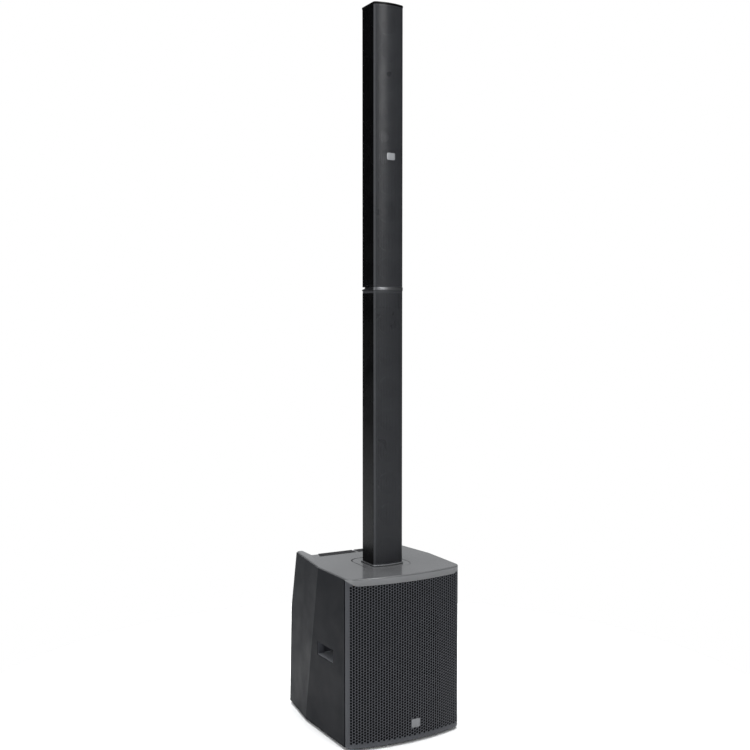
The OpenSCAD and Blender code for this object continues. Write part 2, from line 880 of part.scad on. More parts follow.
module column_grille(z0, z1) {
  color("#2e3034") difference() {
    translate([0, 0, z0]) linear_extrude(z1 - z0) intersection() {
      difference() {
        column_plan(0);
        column_plan(1.5);
      }
      translate([-60, -130]) square([120, col_split_y - 0.3 + 130]);
    }
    badge_hole(column_badge_x0, column_badge_x1, column_badge_z0, column_badge_z1, col_front_y);
  }
}

// Heights of a section's drivers about its middle, with room for a horn between the halves.
function mid_heights(middle, pitch, horn) =
  [for (i = [0 : mid_count - 1])
    middle + (i - (mid_count - 1) / 2) * pitch + (i < mid_count / 2 ? -horn / 2 : horn / 2)];

// Turns shapes made along +Z to face forwards at each driver's place.
module at_drivers(heights) {
  for (z = heights) translate([0, mid_baffle_y, z]) rotate([90, 0, 0]) children();
}

module column_baffle(z0, z1, heights) {
  color("#18181a") difference() {
    box(-col_w / 2 + wall_t, col_w / 2 - wall_t, mid_baffle_y, mid_baffle_y + mid_baffle_t, z0, z1);
    at_drivers(heights) cylinder(r = mid_hole_r, h = 20, center = true, $fn = round_fn);
    tweeter_places() cylinder(r = horn_r + 0.3, h = 20, center = true, $fn = round_fn);
  }
}

module driver_frames(heights) {
  color("#232427") at_drivers(heights) rotate_extrude($fn = round_fn) polygon([
    [33.2, 2.5], [mid_r, 2.5], [mid_r, 0], [33, 0], [24, -18], [24, -36], [0, -36], [0, -22],
    [7.6, -22], [7.6, -33], [10.2, -33], [10.2, -22], [21, -22], [21, -18], [31, 1], [33.2, 1]
  ]);
}

module driver_cones(heights) {
  color("#3a3a3c") at_drivers(heights) rotate_extrude($fn = round_fn) polygon([
    [0, -9.5], [6, -10.5], [10, -13], [27.8, 0.4], [29, 0.4], [29, -0.6], [28.2, -0.6],
    [9.4, -14.8], [9.4, -27], [8.4, -27], [8.4, -13.6], [6, -11.6], [0, -10.6]
  ]);
}

// Turns shapes made along +Z to face forwards at each tweeter's place.
module tweeter_places() {
  for (z = [horn_z - tweeter_dz, horn_z + tweeter_dz])
    translate([0, mid_baffle_y, z]) rotate([90, 0, 0]) children();
}

// A plate with a short round horn in front of each tweeter.
module tweeter_waveguide() {
  color("#232427") difference() {
    union() {
      y_prism(mid_baffle_y - 2.5, mid_baffle_y)
        round_rect(-horn_x, horn_x, horn_z - horn_h / 2 + 1, horn_z + horn_h / 2 - 1, 4);
      tweeter_places() translate([0, 0, -horn_depth]) cylinder(r = horn_r, h = horn_depth, $fn = round_fn);
    }
    tweeter_places() translate([0, 0, -horn_depth - 0.5])
      cylinder(r1 = 12.5, r2 = horn_r - 1, h = horn_depth + 4, $fn = round_fn);
  }
}

module tweeters() {
  color("#55565a") tweeter_places() rotate_extrude($fn = round_fn) {
    translate([0, -36]) square([24, 36 - horn_depth]);
    intersection() {
      translate([0, -22]) circle(13.5, $fn = round_fn);
      translate([0, -horn_depth]) square([12, 12]);
    }
  }
}

// End cap at the foot of a section, with its plug; the neck lifts it off the section below.
module foot_cap(z, neck) {
  color("#1b1c1f") difference() {
    union() {
      translate([0, 0, z + neck]) linear_extrude(flange_h) column_plan(0);
      translate([0, 0, z - plug_h]) linear_extrude(plug_h + neck + flange_h)
        round_rect(-plug_x, plug_x, plug_y0, plug_y1, 4.5);
      if (neck > 0) translate([0, 0, z]) linear_extrude(neck) column_plan(neck_in);
    }
    pin_places(z - plug_h - 1) cylinder(r = pin_hole_r, h = 14, $fn = round_fn);
  }
}

// Head of the lower section: a band with a chamfer, and the pocket for the next plug.
module lower_head() {
  z = upper_z - head_cap_h;
  color("#a9abb0") difference() {
    union() {
      translate([0, 0, z]) linear_extrude(band_h) column_plan(-0.6);
      hull() {
        translate([0, 0, z + band_h]) linear_extrude(0.01) column_plan(-0.6, $fn = 32);
        translate([0, 0, upper_z - 0.01]) linear_extrude(0.01) column_plan(neck_in - 1, $fn = 32);
      }
      box(-41, 41, -101, -40, upper_z - plug_h - 14, z);
    }
    plug_pocket(upper_z - plug_h - 10, 60);
  }
}

lower_mids = mid_heights((lower_baffle_z0 + lower_baffle_z1) / 2, lower_pitch, 0);
upper_mids = mid_heights(horn_z, upper_pitch, horn_h);

module upper_cap() {
  color("#1b1c1f") translate([0, 0, upper_profile_z1]) linear_extrude(top_cap_h) column_plan(-0.8);
}

side_panel_left();
side_panel_right();
bottom_panel();
rear_panel();
top_board();
front_baffle();
bay_shelf();
bay_wall();
top_cover();
handle_well();
grip_pads();
wing_liners();
column_socket();
socket_contacts();
sub_grille();
grille_foam();
sub_badge();
woofer_frame();
woofer_magnet();
woofer_suspension();
woofer_cone();
port_tubes();
control_panel();
connector_plate();
mixer_board();
amplifier_board();
power_supply();
heat_sink();
mains_inlet();
mains_rocker();
signal_sockets();
knob(0);  // knob_channel_1
knob(1);  // knob_channel_2
knob(2);  // knob_line
knob(3);  // knob_bass
knob(4);  // knob_main
button(button_xs[0]);  // button_voice
button(button_xs[1]);  // button_pairing
status_lights();
side_handles();
rubber_feet();
screws();
profile(lower_profile_z0, lower_profile_z1);  // lower_profile
column_baffle(lower_baffle_z0, lower_baffle_z1, lower_mids);  // lower_baffle
column_grille(lower_profile_z0 + 1, lower_profile_z1 - 1);  // lower_grille
foot_cap(lower_z, 0);  // lower_foot
lower_head();
head_contacts();
driver_frames(lower_mids);  // lower_driver_frames
driver_cones(lower_mids);  // lower_driver_cones
profile(upper_profile_z0, upper_profile_z1);  // upper_profile
column_baffle(upper_baffle_z0, upper_baffle_z1, upper_mids);  // upper_baffle
column_grille(upper_profile_z0 + 1, upper_profile_z1 - 1);  // upper_grille
foot_cap(upper_z, neck_h);  // upper_foot
upper_cap();
driver_frames(upper_mids);  // upper_driver_frames
driver_cones(upper_mids);  // upper_driver_cones
tweeter_waveguide();
tweeters();
column_badge();
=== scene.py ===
import json
import math

import bmesh
import bpy
from mathutils import Matrix, Vector


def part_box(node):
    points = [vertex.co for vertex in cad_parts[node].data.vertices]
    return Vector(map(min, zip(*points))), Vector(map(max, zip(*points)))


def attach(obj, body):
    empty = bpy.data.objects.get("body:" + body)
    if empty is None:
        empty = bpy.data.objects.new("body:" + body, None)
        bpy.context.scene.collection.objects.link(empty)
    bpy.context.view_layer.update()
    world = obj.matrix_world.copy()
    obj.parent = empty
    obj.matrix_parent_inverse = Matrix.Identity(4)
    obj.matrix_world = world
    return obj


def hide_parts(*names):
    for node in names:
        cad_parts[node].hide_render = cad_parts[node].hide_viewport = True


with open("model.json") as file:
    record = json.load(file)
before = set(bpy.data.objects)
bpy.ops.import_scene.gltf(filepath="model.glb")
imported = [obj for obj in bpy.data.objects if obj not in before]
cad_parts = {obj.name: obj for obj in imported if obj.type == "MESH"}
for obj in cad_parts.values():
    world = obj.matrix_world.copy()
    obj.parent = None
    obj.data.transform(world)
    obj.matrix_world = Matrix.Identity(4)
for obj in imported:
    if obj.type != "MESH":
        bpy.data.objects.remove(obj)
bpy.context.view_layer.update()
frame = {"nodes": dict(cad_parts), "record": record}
MM = 0.001
SLOT_OF = {row["node"]: row["material_slot"] for row in frame["record"]["subparts"]}

# ---------------------------------------------------------------------------
# Sizes, from the frame. Lengths are in metres.
# ---------------------------------------------------------------------------
COVER_LOW, COVER_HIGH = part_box("top_cover")
GRILLE_LOW, GRILLE_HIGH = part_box("sub_grille")
PROFILE_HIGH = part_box("lower_profile")[1]
LOWER_FOOT_LOW, LOWER_FOOT_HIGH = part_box("lower_foot")
HEAD_LOW, HEAD_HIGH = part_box("lower_head")
UPPER_FOOT_LOW, UPPER_FOOT_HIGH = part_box("upper_foot")
CAP_LOW, CAP_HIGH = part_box("upper_cap")
LOWER_GRILLE_LOW, LOWER_GRILLE_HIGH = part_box("lower_grille")
UPPER_GRILLE_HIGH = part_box("upper_grille")[1]

TOP_Z = COVER_HIGH.z
LIP_Z = TOP_Z - 21 * MM
COVER_THICK = 4 * MM
COVER_Z = TOP_Z - COVER_THICK
FRONT_Y = COVER_LOW.y

# Plan of the cabinet's bowed front
BOW_R = 648 * MM
BOW_CY = FRONT_Y + BOW_R
FRONT_CORNER_R = 28 * MM
FRONT_CORNER_X = 183 * MM - FRONT_CORNER_R
FRONT_CORNER_Y = BOW_CY - math.sqrt((BOW_R - FRONT_CORNER_R) ** 2 - FRONT_CORNER_X**2)
# The lip's lower edge climbs from the end of the bow to the seam with the side panel
CLIMB_START = Vector((156 * MM, -209.9 * MM))
CLIMB_END = Vector((183 * MM, -185.3 * MM))
CREASE = Vector((187 * MM, -27 * MM))
FACET_YAW = math.radians(7.8)
REAR_TOP_Y = 188 * MM
NOTCH_X = 138 * MM
BAR_Y0, BAR_Y1 = 88 * MM, 119 * MM
BAR_DEEP = 28 * MM
# The socket plate's round corners, and the gap between it and the top
SOCKET_CORNER_R = 36 * MM
SOCKET_GAP = 2.4 * MM

# Plan of the plugs below the column sections
PLUG_X = 32.5 * MM
PLUG_Y0, PLUG_Y1 = -96.5 * MM, -48.5 * MM

# Plan and joint of the column sections
NECK_H = 3 * MM
BAND_Z = HEAD_HIGH.z - 7.5 * MM
GRILLE_SPLIT_Y = LOWER_GRILLE_HIGH.y
COLUMN_X = PROFILE_HIGH.x
COLUMN_BACK_Y = PROFILE_HIGH.y
COLUMN_FRONT_Y = LOWER_FOOT_LOW.y
COLUMN_BOW_R = 140 * MM
COLUMN_CORNER_R = 9 * MM
COLUMN_BACK_R = 4 * MM
COLUMN_BOW_CY = COLUMN_FRONT_Y + COLUMN_BOW_R
COLUMN_CORNER_X = COLUMN_X - COLUMN_CORNER_R
COLUMN_CORNER_Y = COLUMN_BOW_CY - math.sqrt((COLUMN_BOW_R - COLUMN_CORNER_R) ** 2 - COLUMN_CORNER_X**2)


# ---------------------------------------------------------------------------
# Mesh helpers
# ---------------------------------------------------------------------------
def make_object(name, verts, faces, smooth=True):
    mesh = bpy.data.meshes.new(name)
    mesh.from_pydata([tuple(v) for v in verts], [], faces)
    mesh.validate()
    built = bpy.data.objects.new(name, mesh)
    bpy.context.scene.collection.objects.link(built)
    work = bmesh.new()
    work.from_mesh(mesh)
    bmesh.ops.recalc_face_normals(work, faces=work.faces)
    work.to_mesh(mesh)
    work.free()
    if smooth:
        smooth_by_angle(built)
    return built


def smooth_by_angle(thing, degrees=32):
    """Smooth shading, with the edges sharper than the angle kept sharp."""
    mesh = thing.data
    for face in mesh.polygons:
        face.use_smooth = True
    work = bmesh.new()
    work.from_mesh(mesh)
    limit = math.radians(degrees)
    for edge in work.edges:
        edge.smooth = len(edge.link_faces) == 2 and edge.calc_face_angle(math.pi) < limit
    work.to_mesh(mesh)
    work.free()


def round_edges(thing, width, segments=3, degrees=35):
    """Welds the corners of a mesh and rounds its sharp edges."""
    weld = thing.modifiers.new("weld", "WELD")
    weld.merge_threshold = 1e-5
    bevel = thing.modifiers.new("bevel", "BEVEL")
    bevel.width = width
    bevel.segments = segments
    bevel.limit_method = "ANGLE"
    bevel.angle_limit = math.radians(degrees)
    bevel.use_clamp_overlap = True
    bevel.harden_normals = False
    return thing


def even_shading(thing):
    """Lets the large flat faces set the shading beside the rounded rims."""
    shade = thing.modifiers.new("weighted", "WEIGHTED_NORMAL")
    shade.keep_sharp = True


def arc_points(cx, cy, radius, start, end, count):
    """Points on an arc; the angle is measured from -Y towards +X."""
    return [
        (
            cx + radius * math.sin(start + (end - start) * i / count),
            cy - radius * math.cos(start + (end - start) * i / count),
        )
        for i in range(count + 1)
    ]


def circle_points(radius, count):
    return [
        (radius * math.cos(math.tau * i / count), radius * math.sin(math.tau * i / count))
        for i in range(count)
    ]


def without_repeats(points):
    kept = []
    for p in points:
        if not kept or (Vector(p) - Vector(kept[-1])).length > 1e-6:
            kept.append(p)
    if (Vector(kept[0]) - Vector(kept[-1])).length < 1e-6:
        kept.pop()
    return kept


def column_outline(inset):
    """Plan of a column section moved in by inset, anticlockwise from above."""
    lean = math.atan2(COLUMN_CORNER_X, COLUMN_BOW_CY - COLUMN_CORNER_Y)
    radius = COLUMN_CORNER_R - inset
    back = COLUMN_BACK_R
    side, rear = COLUMN_X - inset - back, COLUMN_BACK_Y - inset - back
    right = arc_points(COLUMN_CORNER_X, COLUMN_CORNER_Y, radius, lean, math.pi / 2, 8)
    right += arc_points(side, rear, back, math.pi / 2, math.pi, 6)
    bow = arc_points(0, COLUMN_BOW_CY, COLUMN_BOW_R - inset, -lean, lean, 24)
    left = [(-x, y) for x, y in reversed(right)]
    return without_repeats(bow + right + left)


def front_outline(inset):
    """The bowed front of the cabinet between its two corners, from left to right."""
    lean = math.atan2(FRONT_CORNER_X, BOW_CY - FRONT_CORNER_Y)
    radius = FRONT_CORNER_R - inset
    right = arc_points(FRONT_CORNER_X, FRONT_CORNER_Y, radius, lean, math.pi / 2, 10)
    bow = arc_points(0, BOW_CY, BOW_R - inset, -lean, lean, 40)
    left = [(-x, y) for x, y in reversed(right)]
    return without_repeats(left + bow + right)


def lip_bottom(x, y):
    """Height of the lip's lower edge over a point of the front's outline."""
    run = CLIMB_END - CLIMB_START
    along = (Vector((abs(x), y)) - CLIMB_START).dot(run) / run.length_squared
    return LIP_Z + (COVER_Z - 1.5 * MM - LIP_Z) * min(1.0, max(0.0, along))


def round_corner(before, corner, after, radius, count=6):
    """Replaces a corner by an arc of about that radius."""
    b, c, a = Vector(before), Vector(corner), Vector(after)
    d0, d1 = (b - c).normalized(), (a - c).normalized()
    half = d0.angle(d1) / 2
    reach = radius / math.tan(half)
    start, end = c + d0 * reach, c + d1 * reach
    points = []
    for i in range(count + 1):
        t = i / count
        points.append(tuple((1 - t) ** 2 * start + 2 * t * (1 - t) * c + t * t * end))
    return points


def cover_outline(inset):
    """Plan of the whole top, with its two rear wings, moved in by inset."""
    def facet_x(y):
        return CREASE.x - (y - CREASE.y) * math.tan(FACET_YAW) - inset

    rear = REAR_TOP_Y - inset
    wing = NOTCH_X + inset
    bar = BAR_Y1 - inset
    outer = (facet_x(rear), rear)
    inner = (wing, rear)
    root = (wing, bar)
    right = [(FRONT_CORNER_X + FRONT_CORNER_R - inset, FRONT_CORNER_Y + 2 * MM)]
    right.append((CREASE.x - inset, CREASE.y))
    right += round_corner(right[-1], outer, inner, 9 * MM - inset)
    right += round_corner(outer, inner, root, 5 * MM - inset, 4)
    right += round_corner(inner, root, (0, bar), 4 * MM, 4)
    left = [(-x, y) for x, y in reversed(right)]
    return without_repeats(front_outline(inset) + right + left)


def loft(rings, cap_first=True, cap_last=True):
    """Vertices and faces of a closed skin through rings of equal length."""
    count = len(rings[0])
    verts = [p for ring in rings for p in ring]
    faces = []
    for r in range(len(rings) - 1):
        for i in range(count):
            j = (i + 1) % count
            faces.append((r * count + i, r * count + j, (r + 1) * count + j, (r + 1) * count + i))
    if cap_first:
        faces.append(tuple(reversed(range(count))))
    if cap_last:
        faces.append(tuple(range((len(rings) - 1) * count, len(rings) * count)))
    return verts, faces


def at_height(outline, z):
    return [(x, y, z) for x, y in outline]


def edge_rounding(radius, count=5):
    """(inset, drop) pairs that round an edge, from its side up to its top."""
    return [
        (radius * (1 - math.cos(math.pi / 2 * i / count)), radius * (1 - math.sin(math.pi / 2 * i / count)))
        for i in range(count + 1)
    ]


def join_parts(name, parts):
    """One object from several lists of vertices and faces."""
    verts, faces = [], []
    for part_verts, part_faces in parts:
        base = len(verts)
        verts += [tuple(v) for v in part_verts]
        faces += [tuple(base + i for i in face) for face in part_faces]
    return make_object(name, verts, faces)


def placed(part, matrix):
    verts, faces = part
    return [matrix @ Vector(v) for v in verts], faces


def rounded_rectangle(x0, x1, y0, y1, radius, count=6):
    points = []
    for cx, cy, turn in (
        (x1 - radius, y0 + radius, 0),
        (x1 - radius, y1 - radius, 1),
        (x0 + radius, y1 - radius, 2),
        (x0 + radius, y0 + radius, 3),
    ):
        points += arc_points(cx, cy, radius, turn * math.pi / 2, (turn + 1) * math.pi / 2, count)
    return without_repeats(points)


def soft_slab(x0, x1, y0, y1, z0, z1, corner, edge, steps=4):
    """A slab along Z with round corners and rounded rims at both ends."""
    rims = edge_rounding(edge, steps)
    levels = [(inset, z0 + drop) for inset, drop in reversed(rims)]
    levels += [(inset, z1 - drop) for inset, drop in rims]
    rings = []
    for inset, z in levels:
        radius = max(corner - inset, edge * 0.2)
        outline = rounded_rectangle(x0 + inset, x1 - inset, y0 + inset, y1 - inset, radius)
        rings.append(at_height(outline, z))
    return loft(rings)


def prism(outline, z0, z1):
    """A straight prism over an outline of (x, y) points."""
    return loft([at_height(outline, z0), at_height(outline, z1)])


def ring_prism(outer, inner, z0, z1):
    """A tube between two outlines with the same number of points."""
    count = len(outer)
    verts = at_height(outer, z0) + at_height(outer, z1) + at_height(inner, z1) + at_height(inner, z0)
    faces = []
    for r in range(4):
        s = (r + 1) % 4
        for i in range(count):
            j = (i + 1) % count
            faces.append((r * count + i, r * count + j, s * count + j, s * count + i))
    return verts, faces


# ---------------------------------------------------------------------------
# Materials
# ---------------------------------------------------------------------------
class Nodes:
    """A short way to write a node tree."""

    def __init__(self, name):
        self.material = bpy.data.materials.new(name)
        self.material.use_nodes = True
        self.tree = self.material.node_tree
        self.shader = self.tree.nodes["Principled BSDF"]

    def add(self, kind, **values):
        node = self.tree.nodes.new(kind)
        for key, value in values.items():
            if key.startswith("in_"):
                node.inputs[key[3:].replace("_", " ")].default_value = value
            else:
                setattr(node, key, value)
        return node

    def link(self, a, b):
        self.tree.links.new(a, b)

    def place(self):
        return self.add("ShaderNodeTexCoord").outputs["Object"]

    def noise(self, scale, detail=3.0, stretch=None):
        node = self.add("ShaderNodeTexNoise", in_Scale=scale, in_Detail=detail)
        source = self.place()
        if stretch:
            mapping = self.add("ShaderNodeMapping")
            mapping.inputs["Scale"].default_value = stretch
            self.link(source, mapping.inputs["Vector"])
            source = mapping.outputs["Vector"]
        self.link(source, node.inputs["Vector"])
        return node.outputs["Fac"]

    def cells(self, scale):
        node = self.add("ShaderNodeTexVoronoi", in_Scale=scale)
        self.link(self.place(), node.inputs["Vector"])
        return node.outputs["Distance"]

    def span(self, source, low, high, from_low=0.3, from_high=0.7):
        node = self.add("ShaderNodeMapRange")
        node.inputs["From Min"].default_value = from_low
        node.inputs["From Max"].default_value = from_high
        node.inputs["To Min"].default_value = low
        node.inputs["To Max"].default_value = high
        self.link(source, node.inputs["Value"])
        return node.outputs["Result"]

    def mix(self, factor, a, b):
        node = self.add("ShaderNodeMix", data_type="RGBA")
        self.link(factor, node.inputs["Factor"])
        for value, socket in ((a, node.inputs["A"]), (b, node.inputs["B"])):
            if isinstance(value, (tuple, list)):
                socket.default_value = (*value, 1.0)
            else:
                self.link(value, socket)
        return node.outputs["Result"]

    def bump(self, heights):
        """Chains bumps of (height, strength, distance in metres)."""
        last = None
        for height, strength, distance in heights:
            node = self.add("ShaderNodeBump")
            node.inputs["Strength"].default_value = strength
            node.inputs["Distance"].default_value = distance
            self.link(height, node.inputs["Height"])
            if last:
                self.link(last, node.inputs["Normal"])
            last = node.outputs["Normal"]
        self.link(last, self.shader.inputs["Normal"])

    def colour(self, source):
        self.link(source, self.shader.inputs["Base Color"])

    def rough(self, source):
        self.link(source, self.shader.inputs["Roughness"])

    def worn_edges(self, base, worn, amount=0.6):
        """Mixes a lighter colour into the convex edges."""
        point = self.add("ShaderNodeNewGeometry").outputs["Pointiness"]
        mask = self.span(point, 0.0, amount, 0.53, 0.6)
        return self.mix(mask, base, worn)


def tint(colour, factor):
    return tuple(min(1.0, c * factor) for c in colour)


def painted(name, colour, rough, grain, grain_depth, specular):
    """A powder coat or moulded surface: fine grain, faint clouding and lighter edges."""
    spread = 0.12
    m = Nodes(name)
    m.shader.inputs["Specular IOR Level"].default_value = specular
    cloud = m.noise(14.0, 4.0)
    speck = m.noise(grain, 2.0)
    base = m.mix(m.span(cloud, 0.0, 1.0), tint(colour, 1 - spread), tint(colour, 1 + spread))
    base = m.mix(m.span(speck, 0.0, 0.35), base, tint(colour, 1.6))
    m.colour(m.worn_edges(base, tint(colour, 2.2), 0.5))
    m.rough(m.span(cloud, rough - 0.05, rough + 0.06))
    m.bump([(m.cells(grain), 0.5, grain_depth), (speck, 0.4, grain_depth * 0.6)])
    return m.material


def brushed(name, colour, rough=0.28, along=(4.0, 4.0, 900.0)):
    """Satin metal with fine lines."""
    m = Nodes(name)
    m.shader.inputs["Metallic"].default_value = 1.0
    lines = m.noise(1.0, 4.0, stretch=along)
    cloud = m.noise(20.0, 3.0)
    base = m.mix(m.span(lines, 0.0, 1.0), tint(colour, 0.88), tint(colour, 1.08))
    m.colour(base)
    m.rough(m.span(cloud, rough - 0.05, rough + 0.08))
    m.bump([(lines, 0.25, 0.00002)])
    return m.material


def soft_rubber(name, colour, rough=0.7):
    m = Nodes(name)
    m.shader.inputs["Specular IOR Level"].default_value = 0.35
    dust = m.noise(60.0, 5.0)
    m.colour(m.mix(m.span(dust, 0.0, 1.0), tint(colour, 0.8), tint(colour, 1.5)))
    m.rough(m.span(dust, rough - 0.08, rough + 0.1))
    m.bump([(m.noise(1600.0, 2.0), 0.5, 0.00008)])
    return m.material


def open_foam(name, colour):
    m = Nodes(name)
    m.shader.inputs["Specular IOR Level"].default_value = 0.1
    pores = m.cells(700.0)
    m.colour(m.mix(m.span(pores, 0.0, 1.0, 0.1, 0.6), tint(colour, 0.3), tint(colour, 1.6)))
    m.shader.inputs["Roughness"].default_value = 0.95
    m.bump([(pores, 1.0, 0.0008)])
    return m.material


def plywood(name, colour):
    """Birch board: long grain, darker pores and fine fibres."""
    m = Nodes(name)
    grain = m.noise(1.0, 6.0, stretch=(18.0, 160.0, 160.0))
    fibre = m.noise(1.0, 4.0, stretch=(60.0, 1500.0, 1500.0))
    base = m.mix(m.span(grain, 0.0, 1.0), tint(colour, 0.75), tint(colour, 1.2))
    m.colour(m.mix(m.span(fibre, 0.0, 0.4), base, tint(colour, 0.5)))
    m.rough(m.span(fibre, 0.55, 0.75))
    m.bump([(fibre, 0.4, 0.0002)])
    return m.material


def cone_fibre(name, colour):
    m = Nodes(name)
    m.shader.inputs["Specular IOR Level"].default_value = 0.3
    fibre = m.noise(420.0, 6.0)
    m.colour(m.mix(m.span(fibre, 0.0, 1.0), tint(colour, 0.7), tint(colour, 1.7)))
    m.rough(m.span(fibre, 0.6, 0.8))
    m.bump([(fibre, 0.7, 0.0002)])
    return m.material


def circuit(name, colour):
    """Solder mask with copper tracks showing through."""
    m = Nodes(name)
    m.shader.inputs["Coat Weight"].default_value = 0.4
    brick = m.add("ShaderNodeTexBrick", in_Scale=120.0)
    m.link(m.place(), brick.inputs["Vector"])
    tracks = brick.outputs["Fac"]
    m.colour(m.mix(m.span(tracks, 0.0, 0.7, 0.0, 1.0), colour, (0.05, 0.22, 0.10)))
    m.rough(m.span(m.noise(80.0), 0.3, 0.42))
    m.bump([(tracks, 0.4, 0.00005)])
    return m.material


def glossy(name, colour, rough=0.25, glow=0.0):
    m = Nodes(name)
    smear = m.noise(35.0, 4.0)
    m.colour(m.mix(m.span(smear, 0.0, 1.0), tint(colour, 0.85), tint(colour, 1.12)))
    m.rough(m.span(smear, rough - 0.06, rough + 0.1))
    m.bump([(m.noise(500.0), 0.15, 0.00003)])
    if glow:
        m.shader.inputs["Emission Color"].default_value = (*colour, 1.0)
        m.shader.inputs["Emission Strength"].default_value = glow
    return m.material


# painted: colour, roughness, grain cells in a metre, depth of the grain in metres, specular level.
# brushed: colour, roughness, and how often the lines vary along each axis.
MATERIALS = {
    "cabinet_paint": painted("cabinet_paint", (0.0049, 0.0055, 0.0072), 0.52, 700.0, 0.00010, 0.065),
    "bare_board": plywood("bare_board", (0.42, 0.30, 0.18)),
    "top_plastic": painted("top_plastic", (0.072, 0.073, 0.0755), 0.17, 1100.0, 0.00001, 1.0),
    "dark_plastic": painted("dark_plastic", (0.014, 0.014, 0.016), 0.5, 1200.0, 0.00004, 0.45),
    "grille_paint": painted("grille_paint", (0.0335, 0.0352, 0.0400), 0.42, 1500.0, 0.00003, 0.25),
    "column_grille": painted("column_grille", (0.0178, 0.0186, 0.0212), 0.32, 1500.0, 0.00002, 0.42),
    "housing_paint": painted("housing_paint", (0.0007, 0.0007, 0.0008), 0.26, 1300.0, 0.00002, 0.13),
    "black_foam": open_foam("black_foam", (0.0025, 0.0025, 0.003)),
    "rubber": soft_rubber("rubber", (0.012, 0.012, 0.013)),
    "badge_metal": brushed("badge_metal", (0.42, 0.425, 0.44), 0.32, (900.0, 4.0, 4.0)),
    "dark_badge": brushed("dark_badge", (0.17, 0.173, 0.18), 0.32, (900.0, 4.0, 4.0)),
    "bright_aluminium": brushed("bright_aluminium", (0.60, 0.61, 0.63), 0.3),
    "band_metal": brushed("band_metal", (0.115, 0.117, 0.122), 0.3),
    # painted shade: near-black gloss for the collar's wall, darker than the top plastic it stands for,
    # makes the dark line under the rim
    "collar_gloss_painted_shade": painted("collar_gloss_painted_shade", (0.008, 0.008, 0.009), 0.16, 1300.0, 0.00001, 0.6),
    # painted light: lighter colours for the handle pockets' end walls and floor stand in for the light
    # falling into the pockets
    "handle_wall_painted_light": painted("handle_wall_painted_light", (0.040, 0.042, 0.048), 0.5, 1200.0, 0.00004, 0.2),
    "handle_floor_painted_light": painted("handle_floor_painted_light", (0.125, 0.13, 0.14), 0.5, 1200.0, 0.00004, 0.3),
    "steel": brushed("steel", (0.20, 0.20, 0.21), 0.4),
    "cone_paper": cone_fibre("cone_paper", (0.018, 0.018, 0.020)),
    "circuit_board": circuit("circuit_board", (0.012, 0.10, 0.05)),
    "brass": brushed("brass", (0.80, 0.62, 0.28), 0.25),
    "red_plastic": glossy("red_plastic", (0.42, 0.02, 0.02)),
    "lights": glossy("lights", (0.10, 0.55, 0.16), 0.3, 0.6),
    "ink": painted("ink", (0.62, 0.63, 0.64), 0.6, 1500.0, 0.00002, 0.3),
}


def finish_piece(piece, body, slot, material=None, replaced=()):
    """Gives a new piece its material, the body it rides on and the nodes it stands for."""
    piece.data.materials.clear()
    piece.data.materials.append(MATERIALS[material or slot])
    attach(piece, body)
    if replaced:
        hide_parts(*replaced)
    return piece


# ---------------------------------------------------------------------------
# Perforated grilles
# ---------------------------------------------------------------------------
SHEET_THICK = 1.0 * MM
SUB_PITCH, SUB_HOLE_R, SUB_HOLE_SIDES = 8 * MM, 3.65 * MM, 16
SUB_SIDE_MARGIN = 13 * MM
# The grille runs up behind the lip, a little deeper than the front
BEHIND_LIP_RISE, BEHIND_LIP_DEPTH = 5.2 * MM, 0.3 * MM
COLUMN_PITCH, COLUMN_HOLE_R, COLUMN_HOLE_SIDES = 5 * MM, 1.8 * MM, 8
COLUMN_HOLE_COLUMNS = 17
COLUMN_END_MARGIN = 2 * MM


